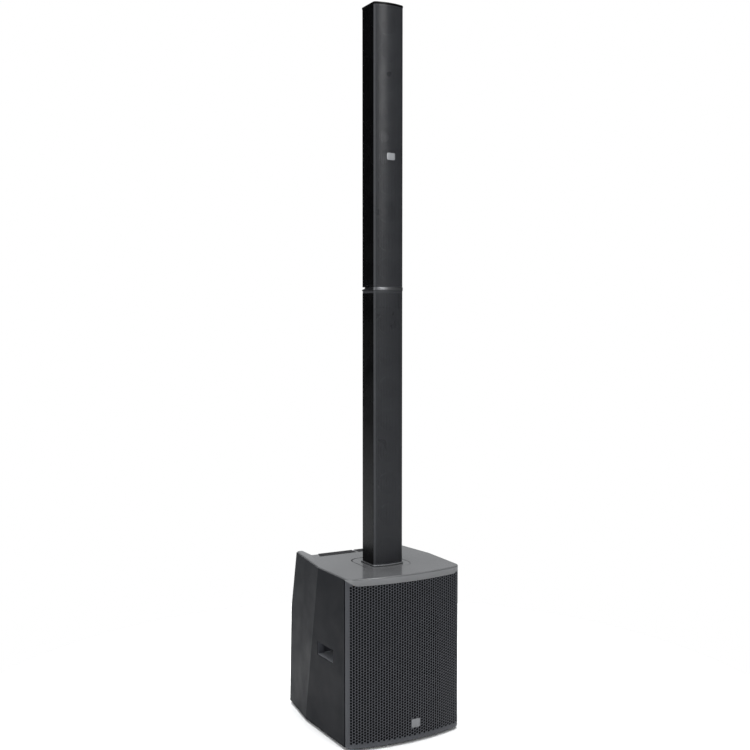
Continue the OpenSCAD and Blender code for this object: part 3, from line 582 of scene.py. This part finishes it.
def perforated_sheet(name, width, columns, pitch, hole_r, sides, thick, place, low, top, margin, skip=None):
    """A sheet with staggered round holes, from the height low up to top(u).

    place(u, z, depth) puts a point of the flat sheet on the curved front.
    """
    quarter = sides // 4
    step = pitch / quarter
    verts, index, faces = [], {}, []

    def vert(u, z):
        key = (round(u * 1e6), round(z * 1e6))
        if key not in index:
            index[key] = len(verts)
            verts.append((u, z))
        return index[key]

    def solid(u0, u1, v0, v1, nu, nv):
        for a in range(nu):
            for b in range(nv):
                ua, ub = u0 + (u1 - u0) * a / nu, u0 + (u1 - u0) * (a + 1) / nu
                va, vb = v0 + (v1 - v0) * b / nv, v0 + (v1 - v0) * (b + 1) / nv
                faces.append((vert(ua, va), vert(ub, va), vert(ub, vb), vert(ua, vb)))

    def holed(u0, u1, v0, v1):
        corners = [(u0, v0), (u1, v0), (u1, v1), (u0, v1)]
        cu, cv = (u0 + u1) / 2, (v0 + v1) / 2
        rim, hole = [], []
        for c in range(4):
            (ua, va), (ub, vb) = corners[c], corners[(c + 1) % 4]
            for q in range(quarter):
                rim.append(vert(ua + (ub - ua) * q / quarter, va + (vb - va) * q / quarter))
                angle = math.radians(-135) + math.tau * (c * quarter + q) / sides
                hole.append(vert(cu + hole_r * math.cos(angle), cv + hole_r * math.sin(angle)))
        for i in range(sides):
            j = (i + 1) % sides
            faces.append((rim[i], rim[j], hole[j], hole[i]))

    def levels(u, v0):
        """Heights of the grid above v0, short of the sheet's top."""
        least_gap = 0.2
        count = int((top(u) - low - margin) / step - least_gap)
        first = round((v0 - low - margin) / step) + 1
        return [low + margin + i * step for i in range(first, count + 1)]

    def filler(u0, u1, v0, across):
        """The plain stretch between a column's last hole and the sheet's top."""
        for a in range(across):
            ua, ub = u0 + (u1 - u0) * a / across, u0 + (u1 - u0) * (a + 1) / across
            face = [vert(ua, v0), vert(ub, v0)]
            if a == across - 1:
                face += [vert(ub, v) for v in levels(ub, v0)]
            face += [vert(ub, top(ub)), vert(ua, top(ua))]
            if a == 0:
                face += [vert(ua, v) for v in reversed(levels(ua, v0))]
            faces.append(tuple(face))

    field = columns * pitch
    side = (width - field) / 2
    side_steps = max(2, round(side / pitch * 2))
    edges = [-width / 2 + side * i / side_steps for i in range(side_steps)]
    edges += [-field / 2 + c * pitch for c in range(columns)]
    edges += [field / 2 + side * i / side_steps for i in range(side_steps + 1)]
    for c, (u0, u1) in enumerate(zip(edges, edges[1:])):
        inside = side_steps <= c < side_steps + columns
        across = quarter if inside else 1
        first = low + margin
        solid(u0, u1, low, first, across, 1)
        if inside and (c - side_steps) % 2:
            solid(u0, u1, first, first + pitch / 2, across, quarter // 2)
            first += pitch / 2
        rows = int((min(top(u0), top(u1)) - rim_margin(pitch) - first) / pitch)
        for r in range(rows):
            v0 = first + r * pitch
            if inside and not (skip and skip((u0 + u1) / 2, v0 + pitch / 2)):
                holed(u0, u1, v0, v0 + pitch)
            else:
                solid(u0, u1, v0, v0 + pitch, across, quarter)
        filler(u0, u1, first + rows * pitch, across)
    count = len(verts)
    points = [place(u, z, 0.0) for u, z in verts] + [place(u, z, thick) for u, z in verts]
    used = {(a, b) for face in faces for a, b in zip(face, face[1:] + face[:1])}
    skin = list(faces) + [tuple(count + i for i in reversed(face)) for face in faces]
    skin += [(b, a, count + a, count + b) for face in faces for a, b in zip(face, face[1:] + face[:1])
             if (b, a) not in used]
    mesh = bpy.data.meshes.new(name)
    mesh.from_pydata(points, [], skin)
    built = bpy.data.objects.new(name, mesh)
    bpy.context.scene.collection.objects.link(built)
    return built


def rim_margin(pitch):
    """The least that stays between a hole's cell and the sheet's top."""
    return 0.08 * pitch


def along_front(bow_r, bow_cy, corner_r, corner_x, corner_y):
    """place() for a front that is a wide arc between two corner arcs."""
    lean = math.atan2(corner_x, bow_cy - corner_y)
    bow_half = bow_r * lean

    def place(u, z, depth):
        s, sign = abs(u), 1 if u >= 0 else -1
        if s <= bow_half:
            a = s / bow_r
            x, y = (bow_r - depth) * math.sin(a), bow_cy - (bow_r - depth) * math.cos(a)
        else:
            a = min(lean + (s - bow_half) / corner_r, math.pi / 2)
            x, y = corner_x + (corner_r - depth) * math.sin(a), corner_y - (corner_r - depth) * math.cos(a)
            y += max(0.0, s - bow_half - corner_r * (math.pi / 2 - lean))
        return (sign * x, y, z)

    return place, bow_half, lean


def front_width(bow_half, lean, corner_r, corner_y, end_y):
    """Length of the outline from end_y on one side to end_y on the other."""
    if end_y >= corner_y:
        turn = corner_r * (math.pi / 2 - lean) + end_y - corner_y
    else:
        turn = corner_r * (math.acos((corner_y - end_y) / corner_r) - lean)
    return 2 * (bow_half + turn)


def sub_grille():
    place, bow_half, lean = along_front(BOW_R, BOW_CY, FRONT_CORNER_R, FRONT_CORNER_X, FRONT_CORNER_Y)
    width = front_width(bow_half, lean, FRONT_CORNER_R, FRONT_CORNER_Y, GRILLE_HIGH.y)
    badge_low, badge_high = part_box("sub_badge")
    badge_gap = 1 * MM
    outer_u = width / 2 - SUB_SIDE_MARGIN - 1.5 * SUB_PITCH
    near_lip_z = LIP_Z - 3 * MM

    def plain(u, z):
        """Behind the badge, and where the outer columns of holes meet the lip, the sheet has no holes."""
        if abs(u) > outer_u and z > near_lip_z:
            return True
        beside = badge_low.x - badge_gap < u < badge_high.x + badge_gap
        return beside and badge_low.z - badge_gap < z < badge_high.z + badge_gap

    def top(u):
        x, y, _ = place(u, 0.0, 0.0)
        return min(lip_bottom(x, y) + BEHIND_LIP_RISE, COVER_Z + 0.6 * MM)

    def behind_lip(u, z, depth):
        return place(u, z, depth + BEHIND_LIP_DEPTH)

    low = GRILLE_LOW.z
    least_margin = 5 * MM
    usable = LIP_Z + 0.4 * MM - low
    margin = usable - SUB_PITCH * int((usable - least_margin) / SUB_PITCH)
    columns = int((width - 2 * SUB_SIDE_MARGIN) / SUB_PITCH)
    columns -= 1 - columns % 2
    piece = perforated_sheet(
        "sub_grille_perforated", width, columns, SUB_PITCH, SUB_HOLE_R, SUB_HOLE_SIDES, SHEET_THICK,
        behind_lip, low, top, margin, plain,
    )
    finish_piece(piece, "cabinet", "grille_paint", replaced=["sub_grille"])


def column_grille(name, node, body, low_z, high_z, badge=None):
    place, bow_half, lean = along_front(
        COLUMN_BOW_R, COLUMN_BOW_CY, COLUMN_CORNER_R, COLUMN_CORNER_X, COLUMN_CORNER_Y
    )
    width = front_width(bow_half, lean, COLUMN_CORNER_R, COLUMN_CORNER_Y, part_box(node)[1].y)
    under_badge = None
    if badge:
        badge_low, badge_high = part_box(badge)

        def under_badge(u, z):
            return badge_low.x < u < badge_high.x and badge_low.z < z < badge_high.z

    def top(u):
        return high_z

    piece = perforated_sheet(
        name, width, COLUMN_HOLE_COLUMNS, COLUMN_PITCH, COLUMN_HOLE_R, COLUMN_HOLE_SIDES, SHEET_THICK,
        place, low_z, top, COLUMN_END_MARGIN, under_badge,
    )
    finish_piece(piece, body, "grille_paint", "column_grille", [node])


# ---------------------------------------------------------------------------
# Cabinet pieces
# ---------------------------------------------------------------------------
def front_lip():
    """The lip under the cover's front: its lower edge is rounded and climbs at both corners.

    The section is (inset, rise above the lip's lower edge) pairs in millimetres; None is the cover.
    """
    section = [(0.0, None), (0.0, 1.3), (0.35, 0.45), (1.2, 0.0), (4.0, 0.0), (4.0, None)]
    outlines = {inset: front_outline(inset * MM) for inset, _ in section}
    into_cover = COVER_Z + 0.05 * MM
    rings = []
    for i, (x, y) in enumerate(outlines[0.0]):
        if y > CLIMB_END.y + 0.5 * MM:
            continue
        low = lip_bottom(x, y)
        ring = []
        for inset, rise in section:
            px, py = outlines[inset][i]
            ring.append((px, py, into_cover if rise is None else low + rise * MM))
        rings.append(ring)
    return loft(rings)


def cover_plate():
    """The top's plate, with rounded rims outside and round the hole for the socket plate.

    A narrow flat margin beside each rim keeps the shading of the plate's middle even.
    """
    bottom = TOP_Z - COVER_THICK
    radius, flat = COVER_THICK - 0.4 * MM, 1.2 * MM
    rings = [at_height(cover_outline(0.0), bottom)]
    rings += [at_height(cover_outline(inset), TOP_Z - drop) for inset, drop in edge_rounding(radius)]
    rings.append(at_height(cover_outline(radius + flat), TOP_Z))
    verts, faces = loft(rings, cap_first=False, cap_last=False)
    count = len(rings[0])
    socket_low, socket_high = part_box("column_socket")
    left_x, right_x = socket_low.x - SOCKET_GAP, socket_high.x + SOCKET_GAP
    front_y, back_y = socket_low.y - 0.7 * MM, socket_high.y + 4.6 * MM
    corner = SOCKET_CORNER_R + SOCKET_GAP

    def hole_outline(grown):
        return rounded_rectangle(
            left_x - grown, right_x + grown, front_y - grown, back_y + grown, corner + grown, 12
        )

    hole_edge = 0.6 * MM
    hole_rings = [at_height(hole_outline(0.0), bottom)]
    for grown, drop in [*edge_rounding(hole_edge, 3), (hole_edge + flat, 0.0)]:
        hole_rings.append(at_height(hole_outline(grown), TOP_Z - drop))
    work = bmesh.new()
    outer = [work.verts.new(v) for v in verts]
    for face in faces:
        work.faces.new([outer[i] for i in face])
    inner = [[work.verts.new(v) for v in ring] for ring in hole_rings]
    span = len(hole_rings[0])
    for low_ring, high_ring in zip(inner, inner[1:]):
        for i in range(span):
            j = (i + 1) % span
            work.faces.new((low_ring[i], high_ring[i], high_ring[j], low_ring[j]))
    work.edges.ensure_lookup_table()

    def loop_edges(ring):
        return [work.edges.get((v, ring[(i + 1) % len(ring)])) for i, v in enumerate(ring)]

    for rim, hole in ((outer[-count:], inner[-1]), (outer[:count], inner[0])):
        bmesh.ops.triangle_fill(work, use_beauty=True, edges=loop_edges(rim) + loop_edges(hole))
    mesh = bpy.data.meshes.new("top_cover_plate")
    bmesh.ops.recalc_face_normals(work, faces=work.faces)
    work.to_mesh(mesh)
    work.free()
    return [tuple(v.co) for v in mesh.vertices], [tuple(f.vertices) for f in mesh.polygons]


def top_cover():
    """The moulded top: its plate, the deep front lip and the grip bar."""
    bar_x, bar_z = NOTCH_X - 3 * MM, TOP_Z - BAR_DEEP
    bar = soft_slab(-bar_x, bar_x, BAR_Y0, BAR_Y1, bar_z, COVER_Z + 1 * MM, 5 * MM, 4 * MM)
    piece = join_parts("top_cover_shell", [cover_plate(), front_lip(), bar])
    even_shading(piece)
    finish_piece(piece, "cabinet", "top_plastic", replaced=["top_cover"])


def socket_trim():
    """The collar round the column's foot, its polished rim and a near-black ring at the bottom of the
    groove round the socket plate; the collar's near-black wall and the ring are painted shade.
    """
    foot, over = -0.4 * MM, -3.4 * MM
    low, top = TOP_Z + 0.05 * MM, TOP_Z + 4.8 * MM
    step = low + 2.3 * MM
    wall = [(foot, low), (over, low), (over, step), (foot, step)]
    rim = [(foot, step), (over + 0.3 * MM, step), (over + 0.5 * MM, step + 0.3 * MM)]
    rim += [(foot - 0.9 * MM, top - 0.2 * MM), (foot, top)]
    # the collar's wall is near-black painted shade; its rim is polished metal
    for name, levels, look in (
        ("column_collar", wall, "collar_gloss_painted_shade"),
        ("collar_rim", rim, "bright_aluminium"),
    ):
        rings = [at_height(column_outline(inset), z) for inset, z in levels]
        rings.append(rings[0])
        collar = join_parts(name, [loft(rings, cap_first=False, cap_last=False)])
        finish_piece(collar, "cabinet", "top_plastic", look)
    # Painted shade: a near-black ring at the bottom of the groove round the socket plate keeps the groove
    # dark.
    low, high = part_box("column_socket")
    outlines = [
        rounded_rectangle(low.x - d, high.x + d, low.y - f, high.y + e, SOCKET_CORNER_R + d, 12)
        for d, e, f in ((2.3 * MM, 4.5 * MM, 0.6 * MM), (0.1 * MM, 0.1 * MM, 0.1 * MM))
    ]
    groove_painted_shade = join_parts("socket_groove_painted_shade", [ring_prism(*outlines, COVER_Z + 0.05 * MM, COVER_Z + 1 * MM)])
    finish_piece(groove_painted_shade, "cabinet", "rubber", "housing_paint")


def grip_pads():
    """Two soft strips let into the grip bar, each wrapped down over the bar's rear."""
    low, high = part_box("grip_pads")
    parts = []
    start, inner_end, outer_end = 4 * MM, 117 * MM, 127 * MM
    chamfer = 0.25 * MM
    step_z = high.z - chamfer
    for side in (-1, 1):
        def at(x, y):
            return (side * x, y)

        for inset, z0, z1 in ((0.0, TOP_Z - 0.4 * MM, step_z), (chamfer, step_z, high.z)):
            front = BAR_Y0 - 1 * MM + inset
            back = BAR_Y1 - inset
            outline = [
                at(start + inset, BAR_Y0 + inset), at(start + inset, back),
                at(inner_end - inset, back), at(outer_end - inset, front),
            ]
            if side < 0:
                outline.reverse()
            parts.append(prism(outline, z0, z1))
        verts, faces = soft_slab(
            start, inner_end, BAR_Y1 - 1 * MM, high.y, low.z, high.z, 1.2 * MM, 0.8 * MM
        )
        parts.append(([(side * x, y, z) for x, y, z in verts], faces))
    piece = join_parts("grip_pad_strips", parts)
    finish_piece(piece, "cabinet", "rubber", replaced=["grip_pads"])


def badge(node, name, body, front_y, look="badge_metal"):
    """A plain metal plate with a domed edge."""
    low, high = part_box(node)
    corner, inner = 4 * MM, 3.2 * MM

    def outline(inset, radius):
        return rounded_rectangle(low.x + inset, high.x - inset, low.z + inset, high.z - inset, radius)

    rings = [outline(1 * MM, 3 * MM), outline(0.0, corner)]
    depths = [high.y, front_y]
    for inset, drop in edge_rounding(0.8 * MM, 4):
        rings.append(outline(inset, corner - inset))
        depths.append(low.y + drop)
    rings += [outline(inner, 1.6 * MM), outline(inner, 1.4 * MM)]
    depths += [low.y, low.y + 0.25 * MM]
    verts, faces = loft([[(x, y, z) for x, z in ring] for ring, y in zip(rings, depths)])
    piece = make_object(name, verts, faces)
    finish_piece(piece, body, "badge_metal", look, [node])


# ---------------------------------------------------------------------------
# Column pieces
# ---------------------------------------------------------------------------
def stacked(levels):
    """A skin through column outlines of (inset, height)."""
    return loft([at_height(column_outline(inset), z) for inset, z in levels])


def plug_part(low_z, high_z):
    return soft_slab(-PLUG_X, PLUG_X, PLUG_Y0, PLUG_Y1, low_z, high_z, 4.5 * MM, 0.8 * MM)


def lower_foot():
    chamfer = 0.6 * MM
    body = stacked([(chamfer, TOP_Z), (0.0, TOP_Z + chamfer), (0.0, LOWER_FOOT_HIGH.z)])
    piece = join_parts("lower_foot_cap", [body, plug_part(LOWER_FOOT_LOW.z, TOP_Z + 0.5 * MM)])
    finish_piece(piece, "lower_column", "housing_paint", replaced=["lower_foot"])


def shaped_rings(levels):
    """Column outlines whose inset and height may each be a function of a point's place."""
    rings = []
    for inset, height in levels:
        ring = []
        for i, (_, y) in enumerate(column_outline(0.0)):
            moved = column_outline(inset(y) if callable(inset) else inset)[i]
            ring.append((*moved, height(y) if callable(height) else height))
        rings.append(ring)
    return rings


def lower_head():
    """The satin band at the top of the lower section, and the dark pocket and sleeve inside it.

    The band's rim stands up round the neck of the upper section at the front and sides,
    and drops to a chamfer at the rear corners.
    """
    low, high = HEAD_LOW, HEAD_HIGH
    over = -1.1 * MM
    rim_rise = NECK_H - 0.4 * MM
    rear, front = -42 * MM, -58 * MM

    def upright_share(y):
        """0 at the chamfered rear corners, and 1 where the rim stands up."""
        return min(1.0, max(0.0, (rear - y) / (rear - front)))

    def raised(drop, chamfer):
        def height(y):
            share = upright_share(y)
            share = share * share * (3 - 2 * share)
            return high.z - drop * (1 - share) + (rim_rise - chamfer) * share
        return height

    def inwards(chamfered, upright):
        return lambda y: chamfered + (upright - chamfered) * upright_share(y)

    levels = [
        (0.3 * MM, BAND_Z), (over, BAND_Z + 0.5 * MM), (over, raised(4.5 * MM, 0.9 * MM)),
        (inwards(over + 0.4 * MM, over + 0.3 * MM), raised(4.0 * MM, 0.25 * MM)),
        (inwards(3.7 * MM, over + 1.0 * MM), raised(0.3 * MM, 0.0)),
        (4.4 * MM, raised(0.0, 0.0)), (4.4 * MM, high.z - 1 * MM),
    ]
    rings = shaped_rings(levels)
    rings.append(at_height(column_outline(3 * MM), BAND_Z))
    count = len(rings[0])
    verts, faces = loft(rings, cap_first=False, cap_last=False)
    last = (len(rings) - 1) * count
    faces += [(i, last + i, last + (i + 1) % count, (i + 1) % count) for i in range(count)]
    piece = join_parts("lower_head_band", [(verts, faces)])
    finish_piece(piece, "lower_column", "bright_aluminium", "band_metal", ["lower_head"])
    play = 0.5 * MM
    wall = play + 3 * MM
    inner = rounded_rectangle(-PLUG_X - play, PLUG_X + play, PLUG_Y0 - play, PLUG_Y1 + play, 5 * MM)
    outer = rounded_rectangle(-PLUG_X - wall, PLUG_X + wall, PLUG_Y0 - wall, PLUG_Y1 + wall, 8 * MM)
    pocket = loft([
        at_height(outer, low.z), at_height(outer, high.z - 1.2 * MM), at_height(inner, high.z - 1.2 * MM),
        at_height(inner, low.z + 4 * MM),
    ])
    sleeve = stacked([
        (1.3 * MM, LOWER_GRILLE_HIGH.z + 0.4 * MM), (0.3 * MM, LOWER_GRILLE_HIGH.z + 1 * MM),
        (0.3 * MM, BAND_Z - 0.5 * MM), (1.3 * MM, BAND_Z), (1.3 * MM, BAND_Z + 1 * MM),
    ])
    deck = stacked([(3.2 * MM, high.z - 2.5 * MM), (3.2 * MM, high.z - 1.4 * MM)])
    piece = join_parts("lower_head_pocket", [pocket, sleeve, deck])
    finish_piece(piece, "lower_column", "bright_aluminium", "dark_plastic", ["lower_head"])


def upper_foot():
    """The foot of the upper section stands on a short neck; the grille covers its front."""
    low, high = UPPER_FOOT_LOW, UPPER_FOOT_HIGH
    joint_z = HEAD_HIGH.z

    def flush(y):
        return 1.25 * MM if y < GRILLE_SPLIT_Y else 0.0

    levels = [(5 * MM, joint_z), (5 * MM, joint_z + NECK_H - 0.4 * MM), (1.6 * MM, joint_z + NECK_H)]
    levels += [(flush, joint_z + NECK_H + 0.4 * MM), (flush, high.z)]
    cap = loft(shaped_rings(levels))
    piece = join_parts("upper_foot_cap", [cap, plug_part(low.z, joint_z + 0.5 * MM)])
    finish_piece(piece, "upper_column", "housing_paint", replaced=["upper_foot"])


def upper_cap():
    low, high = CAP_LOW, CAP_HIGH
    over = -0.8 * MM
    levels = [(0.0, low.z), (over, low.z + 0.4 * MM)]
    levels += [(over + inset, high.z - drop) for inset, drop in edge_rounding(1.8 * MM)]
    verts, faces = stacked(levels)
    piece = make_object("upper_cap_lid", verts, faces)
    finish_piece(piece, "upper_column", "housing_paint", replaced=["upper_cap"])


# ---------------------------------------------------------------------------
# Controls
# ---------------------------------------------------------------------------
PANEL_TILT = math.radians(29)
PANEL_FOOT = Vector((0, 214 * MM, 290 * MM))
PANEL = Matrix.Translation(PANEL_FOOT) @ Matrix.Rotation(PANEL_TILT, 4, "X")
OUTWARDS = Matrix.Rotation(-math.pi / 2, 4, "X")
KNOB_X = [-104 * MM, -52 * MM, 0.0, 52 * MM, 104 * MM]
KNOB_Z = 100 * MM
BUTTON_X = [-78 * MM, -26 * MM]
BUTTON_Z = 44 * MM
# Printed marks stand just clear of the panel, as thin as ink
INK_LOW, INK_HIGH, INK_EDGE = 0.01 * MM, 0.09 * MM, 0.03 * MM
KNOB_NODES = ["knob_channel_1", "knob_channel_2", "knob_line", "knob_bass", "knob_main"]


def on_panel(x, z):
    """Where a shape made along +Z stands on the control panel, pointing outwards."""
    return PANEL @ Matrix.Translation((x, 0, z)) @ OUTWARDS


def fluted_knob():
    """A soft-touch knob: skirt, 24 flutes and a dished top."""
    count = 96
    rings = []

    def ring(radius, height, flute):
        points = []
        for i in range(count):
            a = math.tau * i / count
            r = radius - flute * (0.5 + 0.5 * math.cos(24 * a))
            points.append((r * math.cos(a), r * math.sin(a), height))
        return points

    skirt, grip, top = 12 * MM, 9.4 * MM, 16 * MM
    for radius, height, flute in (
        (skirt - 0.6 * MM, 0.8 * MM, 0), (skirt, 1.2 * MM, 0),
        (skirt, 2.9 * MM, 0), (skirt - 0.7 * MM, 3.7 * MM, 0),
        (grip + 0.6 * MM, 4.2 * MM, 0), (grip, 5.0 * MM, 0.5 * MM),
        (grip - 0.3 * MM, 13.8 * MM, 0.5 * MM), (grip - 0.8 * MM, 15.2 * MM, 0.35 * MM),
        (grip - 1.7 * MM, top, 0), (grip - 2.6 * MM, top - 0.1 * MM, 0), (grip - 6 * MM, top - 0.7 * MM, 0),
    ):
        rings.append(ring(radius, height, flute))
    return loft(rings)


def pointer_bar():
    """The white line on a knob's top, from near its middle to its rim."""
    half = 0.55 * MM
    return soft_slab(-half, half, 2.2 * MM, 8.4 * MM, 15.2 * MM, 16.05 * MM, 0.4 * MM, 0.2 * MM, 2)


def knobs():
    turned = Matrix.Rotation(math.pi, 4, "Z")
    for node, x in zip(KNOB_NODES, KNOB_X):
        piece = join_parts(node + "_cap", [placed(fluted_knob(), on_panel(x, KNOB_Z))])
        finish_piece(piece, node, "dark_plastic", replaced=[node])
        line = join_parts(node + "_pointer", [placed(pointer_bar(), on_panel(x, KNOB_Z) @ turned)])
        finish_piece(line, node, "lights", "ink")


def panel_marks():
    """Printed scales round the knobs and rings round the buttons, without any lettering."""
    parts = []
    for x in KNOB_X:
        for i in range(11):
            angle = math.radians(-150 + 30 * i)
            tick_end = 17.2 * MM if i % 5 == 0 else 16.2 * MM
            tick = soft_slab(
                -0.35 * MM, 0.35 * MM, 14.2 * MM, tick_end, INK_LOW, INK_HIGH, 0.2 * MM, INK_EDGE, 1
            )
            parts.append(placed(tick, on_panel(x, KNOB_Z) @ Matrix.Rotation(math.pi + angle, 4, "Z")))
    for x in BUTTON_X:
        ring = ring_prism(circle_points(8.4 * MM, 48), circle_points(7.9 * MM, 48), INK_LOW, INK_HIGH)
        parts.append(placed(ring, on_panel(x, BUTTON_Z)))
    for z in (74 * MM, 130 * MM):
        rule = soft_slab(
            -126 * MM, 126 * MM, -0.25 * MM, 0.25 * MM, INK_LOW, INK_HIGH, 0.1 * MM, INK_EDGE, 1
        )
        parts.append(placed(rule, on_panel(0, z)))
    piece = join_parts("panel_marks", parts)
    finish_piece(piece, "cabinet", "lights", "ink")


# ---------------------------------------------------------------------------
# CAD nodes that keep their own shape
# ---------------------------------------------------------------------------
# Radius of each node's rounded edges, in millimetres
EDGE = {
    "side_panel_left": 1.6, "side_panel_right": 1.6, "bottom_panel": 1.2, "rear_panel": 0.8,
    "column_socket": 0.9, "side_handles": 1.2, "rubber_feet": 1.2, "wing_liners": 0.8, "handle_well": 0.5,
    "lower_profile": 0.5, "upper_profile": 0.5, "control_panel": 0.5, "connector_plate": 0.5,
    "signal_sockets": 0.3, "mains_inlet": 0.4, "mains_rocker": 0.5, "button_voice": 0.5,
    "button_pairing": 0.5, "screws": 0.4,
}
DEFAULT_EDGE = 0.35
# Painted light: the pockets of the side handles are lighter inside than their flush frames; the end walls
# are lightened against the shade in the pocket, and the floor is painted as if lit from above
POCKET_PAINTED_LIGHT = ("handle_wall_painted_light", "handle_floor_painted_light")
# The side panels keep a crisp crease
CREASED = ("side_panel_left", "side_panel_right")


def dress_cad_nodes():
    for name, node in frame["nodes"].items():
        if node.hide_render:
            continue
        node.data.materials.clear()
        node.data.materials.append(MATERIALS[SLOT_OF[name]])
        round_edges(node, EDGE.get(name, DEFAULT_EDGE) * MM)
        for face in node.data.polygons:
            face.use_smooth = name not in CREASED
        if name == "side_handles":
            # painted light in the handle pockets: upward faces get the lighter floor colour, faces across Y
            # the lighter wall colour
            for look in POCKET_PAINTED_LIGHT:
                node.data.materials.append(MATERIALS[look])
            for face in node.data.polygons:
                face.material_index = 2 if face.normal.z > 0.7 else int(abs(face.normal.y) > 0.7)
        even_shading(node)


# ---------------------------------------------------------------------------
# Scene
# ---------------------------------------------------------------------------
def floor():
    radius, count = 1.3, 96
    rim = at_height(circle_points(radius, count), 0)
    plane = make_object("floor", rim, [tuple(range(count))], smooth=False)
    m = Nodes("floor_paint")
    m.colour(m.mix(m.span(m.noise(3.0), 0.0, 1.0), (0.90, 0.90, 0.90), (0.92, 0.92, 0.92)))
    m.shader.inputs["Roughness"].default_value = 0.9
    m.shader.inputs["Specular IOR Level"].default_value = 0.1
    plane.data.materials.append(m.material)


def area_light(name, place, target, size, watts, reflected=True):
    data = bpy.data.lights.new(name, "AREA")
    data.shape = "RECTANGLE"
    data.size, data.size_y = size
    data.energy = watts
    lamp = bpy.data.objects.new(name, data)
    bpy.context.scene.collection.objects.link(lamp)
    lamp.location = place
    lamp.rotation_mode = "QUATERNION"
    lamp.rotation_quaternion = (Vector(target) - Vector(place)).to_track_quat("-Z", "Y")
    lamp.visible_glossy = reflected


def room_brightness(tree):
    """The room is bright on the left and dim on the right, and dark behind on the left above the floor."""
    way = tree.nodes.new("ShaderNodeSeparateXYZ")
    tree.links.new(tree.nodes.new("ShaderNodeTexCoord").outputs["Generated"], way.inputs[0])

    def ramp(axis, low, high, at_low, at_high):
        node = tree.nodes.new("ShaderNodeMapRange")
        tree.links.new(way.outputs[axis], node.inputs["Value"])
        for name, value in (("From Min", low), ("From Max", high), ("To Min", at_low), ("To Max", at_high)):
            node.inputs[name].default_value = value
        return node.outputs["Result"]

    def combine(operation, a, b):
        node = tree.nodes.new("ShaderNodeMath")
        node.operation = operation
        tree.links.new(a, node.inputs[0])
        tree.links.new(b, node.inputs[1])
        return node.outputs[0]

    behind_left = combine("MAXIMUM", ramp("X", -0.2, 0.0, 0.03, 1.0), ramp("Y", 0.2, 0.6, 1.0, 0.03))
    shade = combine("MAXIMUM", behind_left, ramp("Z", -0.18, -0.09, 1.0, 0.0))
    room = combine("MULTIPLY", shade, ramp("X", -1.0, 1.0, 1.1, 0.18))
    floor_glow = combine("MULTIPLY", ramp("Z", -0.18, -0.09, 1.0, 0.0), ramp("X", -1.0, 1.0, 0.0, 0.65))
    return combine("ADD", room, floor_glow)


def studio():
    scene = bpy.context.scene
    scene.view_settings.view_transform = "Standard"
    world = bpy.data.worlds.new("studio")
    scene.world = world
    world.use_nodes = True
    tree = world.node_tree
    seen = tree.nodes["Background"]
    seen.inputs["Color"].default_value = (1.0, 1.0, 1.0, 1.0)
    seen.inputs["Strength"].default_value = 1.0
    light = tree.nodes.new("ShaderNodeBackground")
    light.inputs["Color"].default_value = (0.96, 0.98, 1.0, 1.0)
    tree.links.new(room_brightness(tree), light.inputs["Strength"])
    path = tree.nodes.new("ShaderNodeLightPath")
    mix = tree.nodes.new("ShaderNodeMixShader")
    tree.links.new(path.outputs["Is Camera Ray"], mix.inputs[0])
    tree.links.new(light.outputs[0], mix.inputs[1])
    tree.links.new(seen.outputs[0], mix.inputs[2])
    tree.links.new(mix.outputs[0], tree.nodes["World Output"].inputs["Surface"])
    area_light("side", (-3.4, -1.8, 2.6), (0, 0, 0.5), (2.2, 2.2), 16)
    area_light("front", (0.7, -4.2, 3.1), (0, 0, 1.4), (0.9, 2.2), 46)
    area_light("left_front", (-3.4, -3.0, 1.6), (0, 0, 0.5), (1.6, 2.0), 26, reflected=False)
    area_light("top", (0.2, 0.2, 5.0), (0, 0, 0.0), (4.0, 4.0), 385, reflected=False)


def camera():
    data = bpy.data.cameras.new("camera")
    data.sensor_width = 36.0
    data.lens = 49.81
    data.shift_y = 0.001
    data.clip_end = 200.0
    view = bpy.data.objects.new("camera", data)
    bpy.context.scene.collection.objects.link(view)
    yaw, pitch = math.radians(28.609), math.radians(2.983)
    view.location = (-1.45175, -2.6854, 1.1806)
    ahead = Vector((math.sin(yaw) * math.cos(pitch), math.cos(yaw) * math.cos(pitch), -math.sin(pitch)))
    view.rotation_mode = "QUATERNION"
    view.rotation_quaternion = ahead.to_track_quat("-Z", "Y")
    bpy.context.scene.camera = view


camera()
sub_grille()
column_grille(
    "lower_grille_perforated", "lower_grille", "lower_column", LOWER_GRILLE_LOW.z, BAND_Z - 0.6 * MM
)
column_grille(
    "upper_grille_perforated", "upper_grille", "upper_column", HEAD_HIGH.z + NECK_H + 0.5 * MM,
    UPPER_GRILLE_HIGH.z, "column_badge",
)
top_cover()
socket_trim()
grip_pads()
badge("sub_badge", "sub_badge_plate", "cabinet", FRONT_Y, "dark_badge")
badge("column_badge", "column_badge_plate", "upper_column", COLUMN_FRONT_Y)
lower_foot()
lower_head()
upper_foot()
upper_cap()
knobs()
panel_marks()
dress_cad_nodes()
floor()
studio()
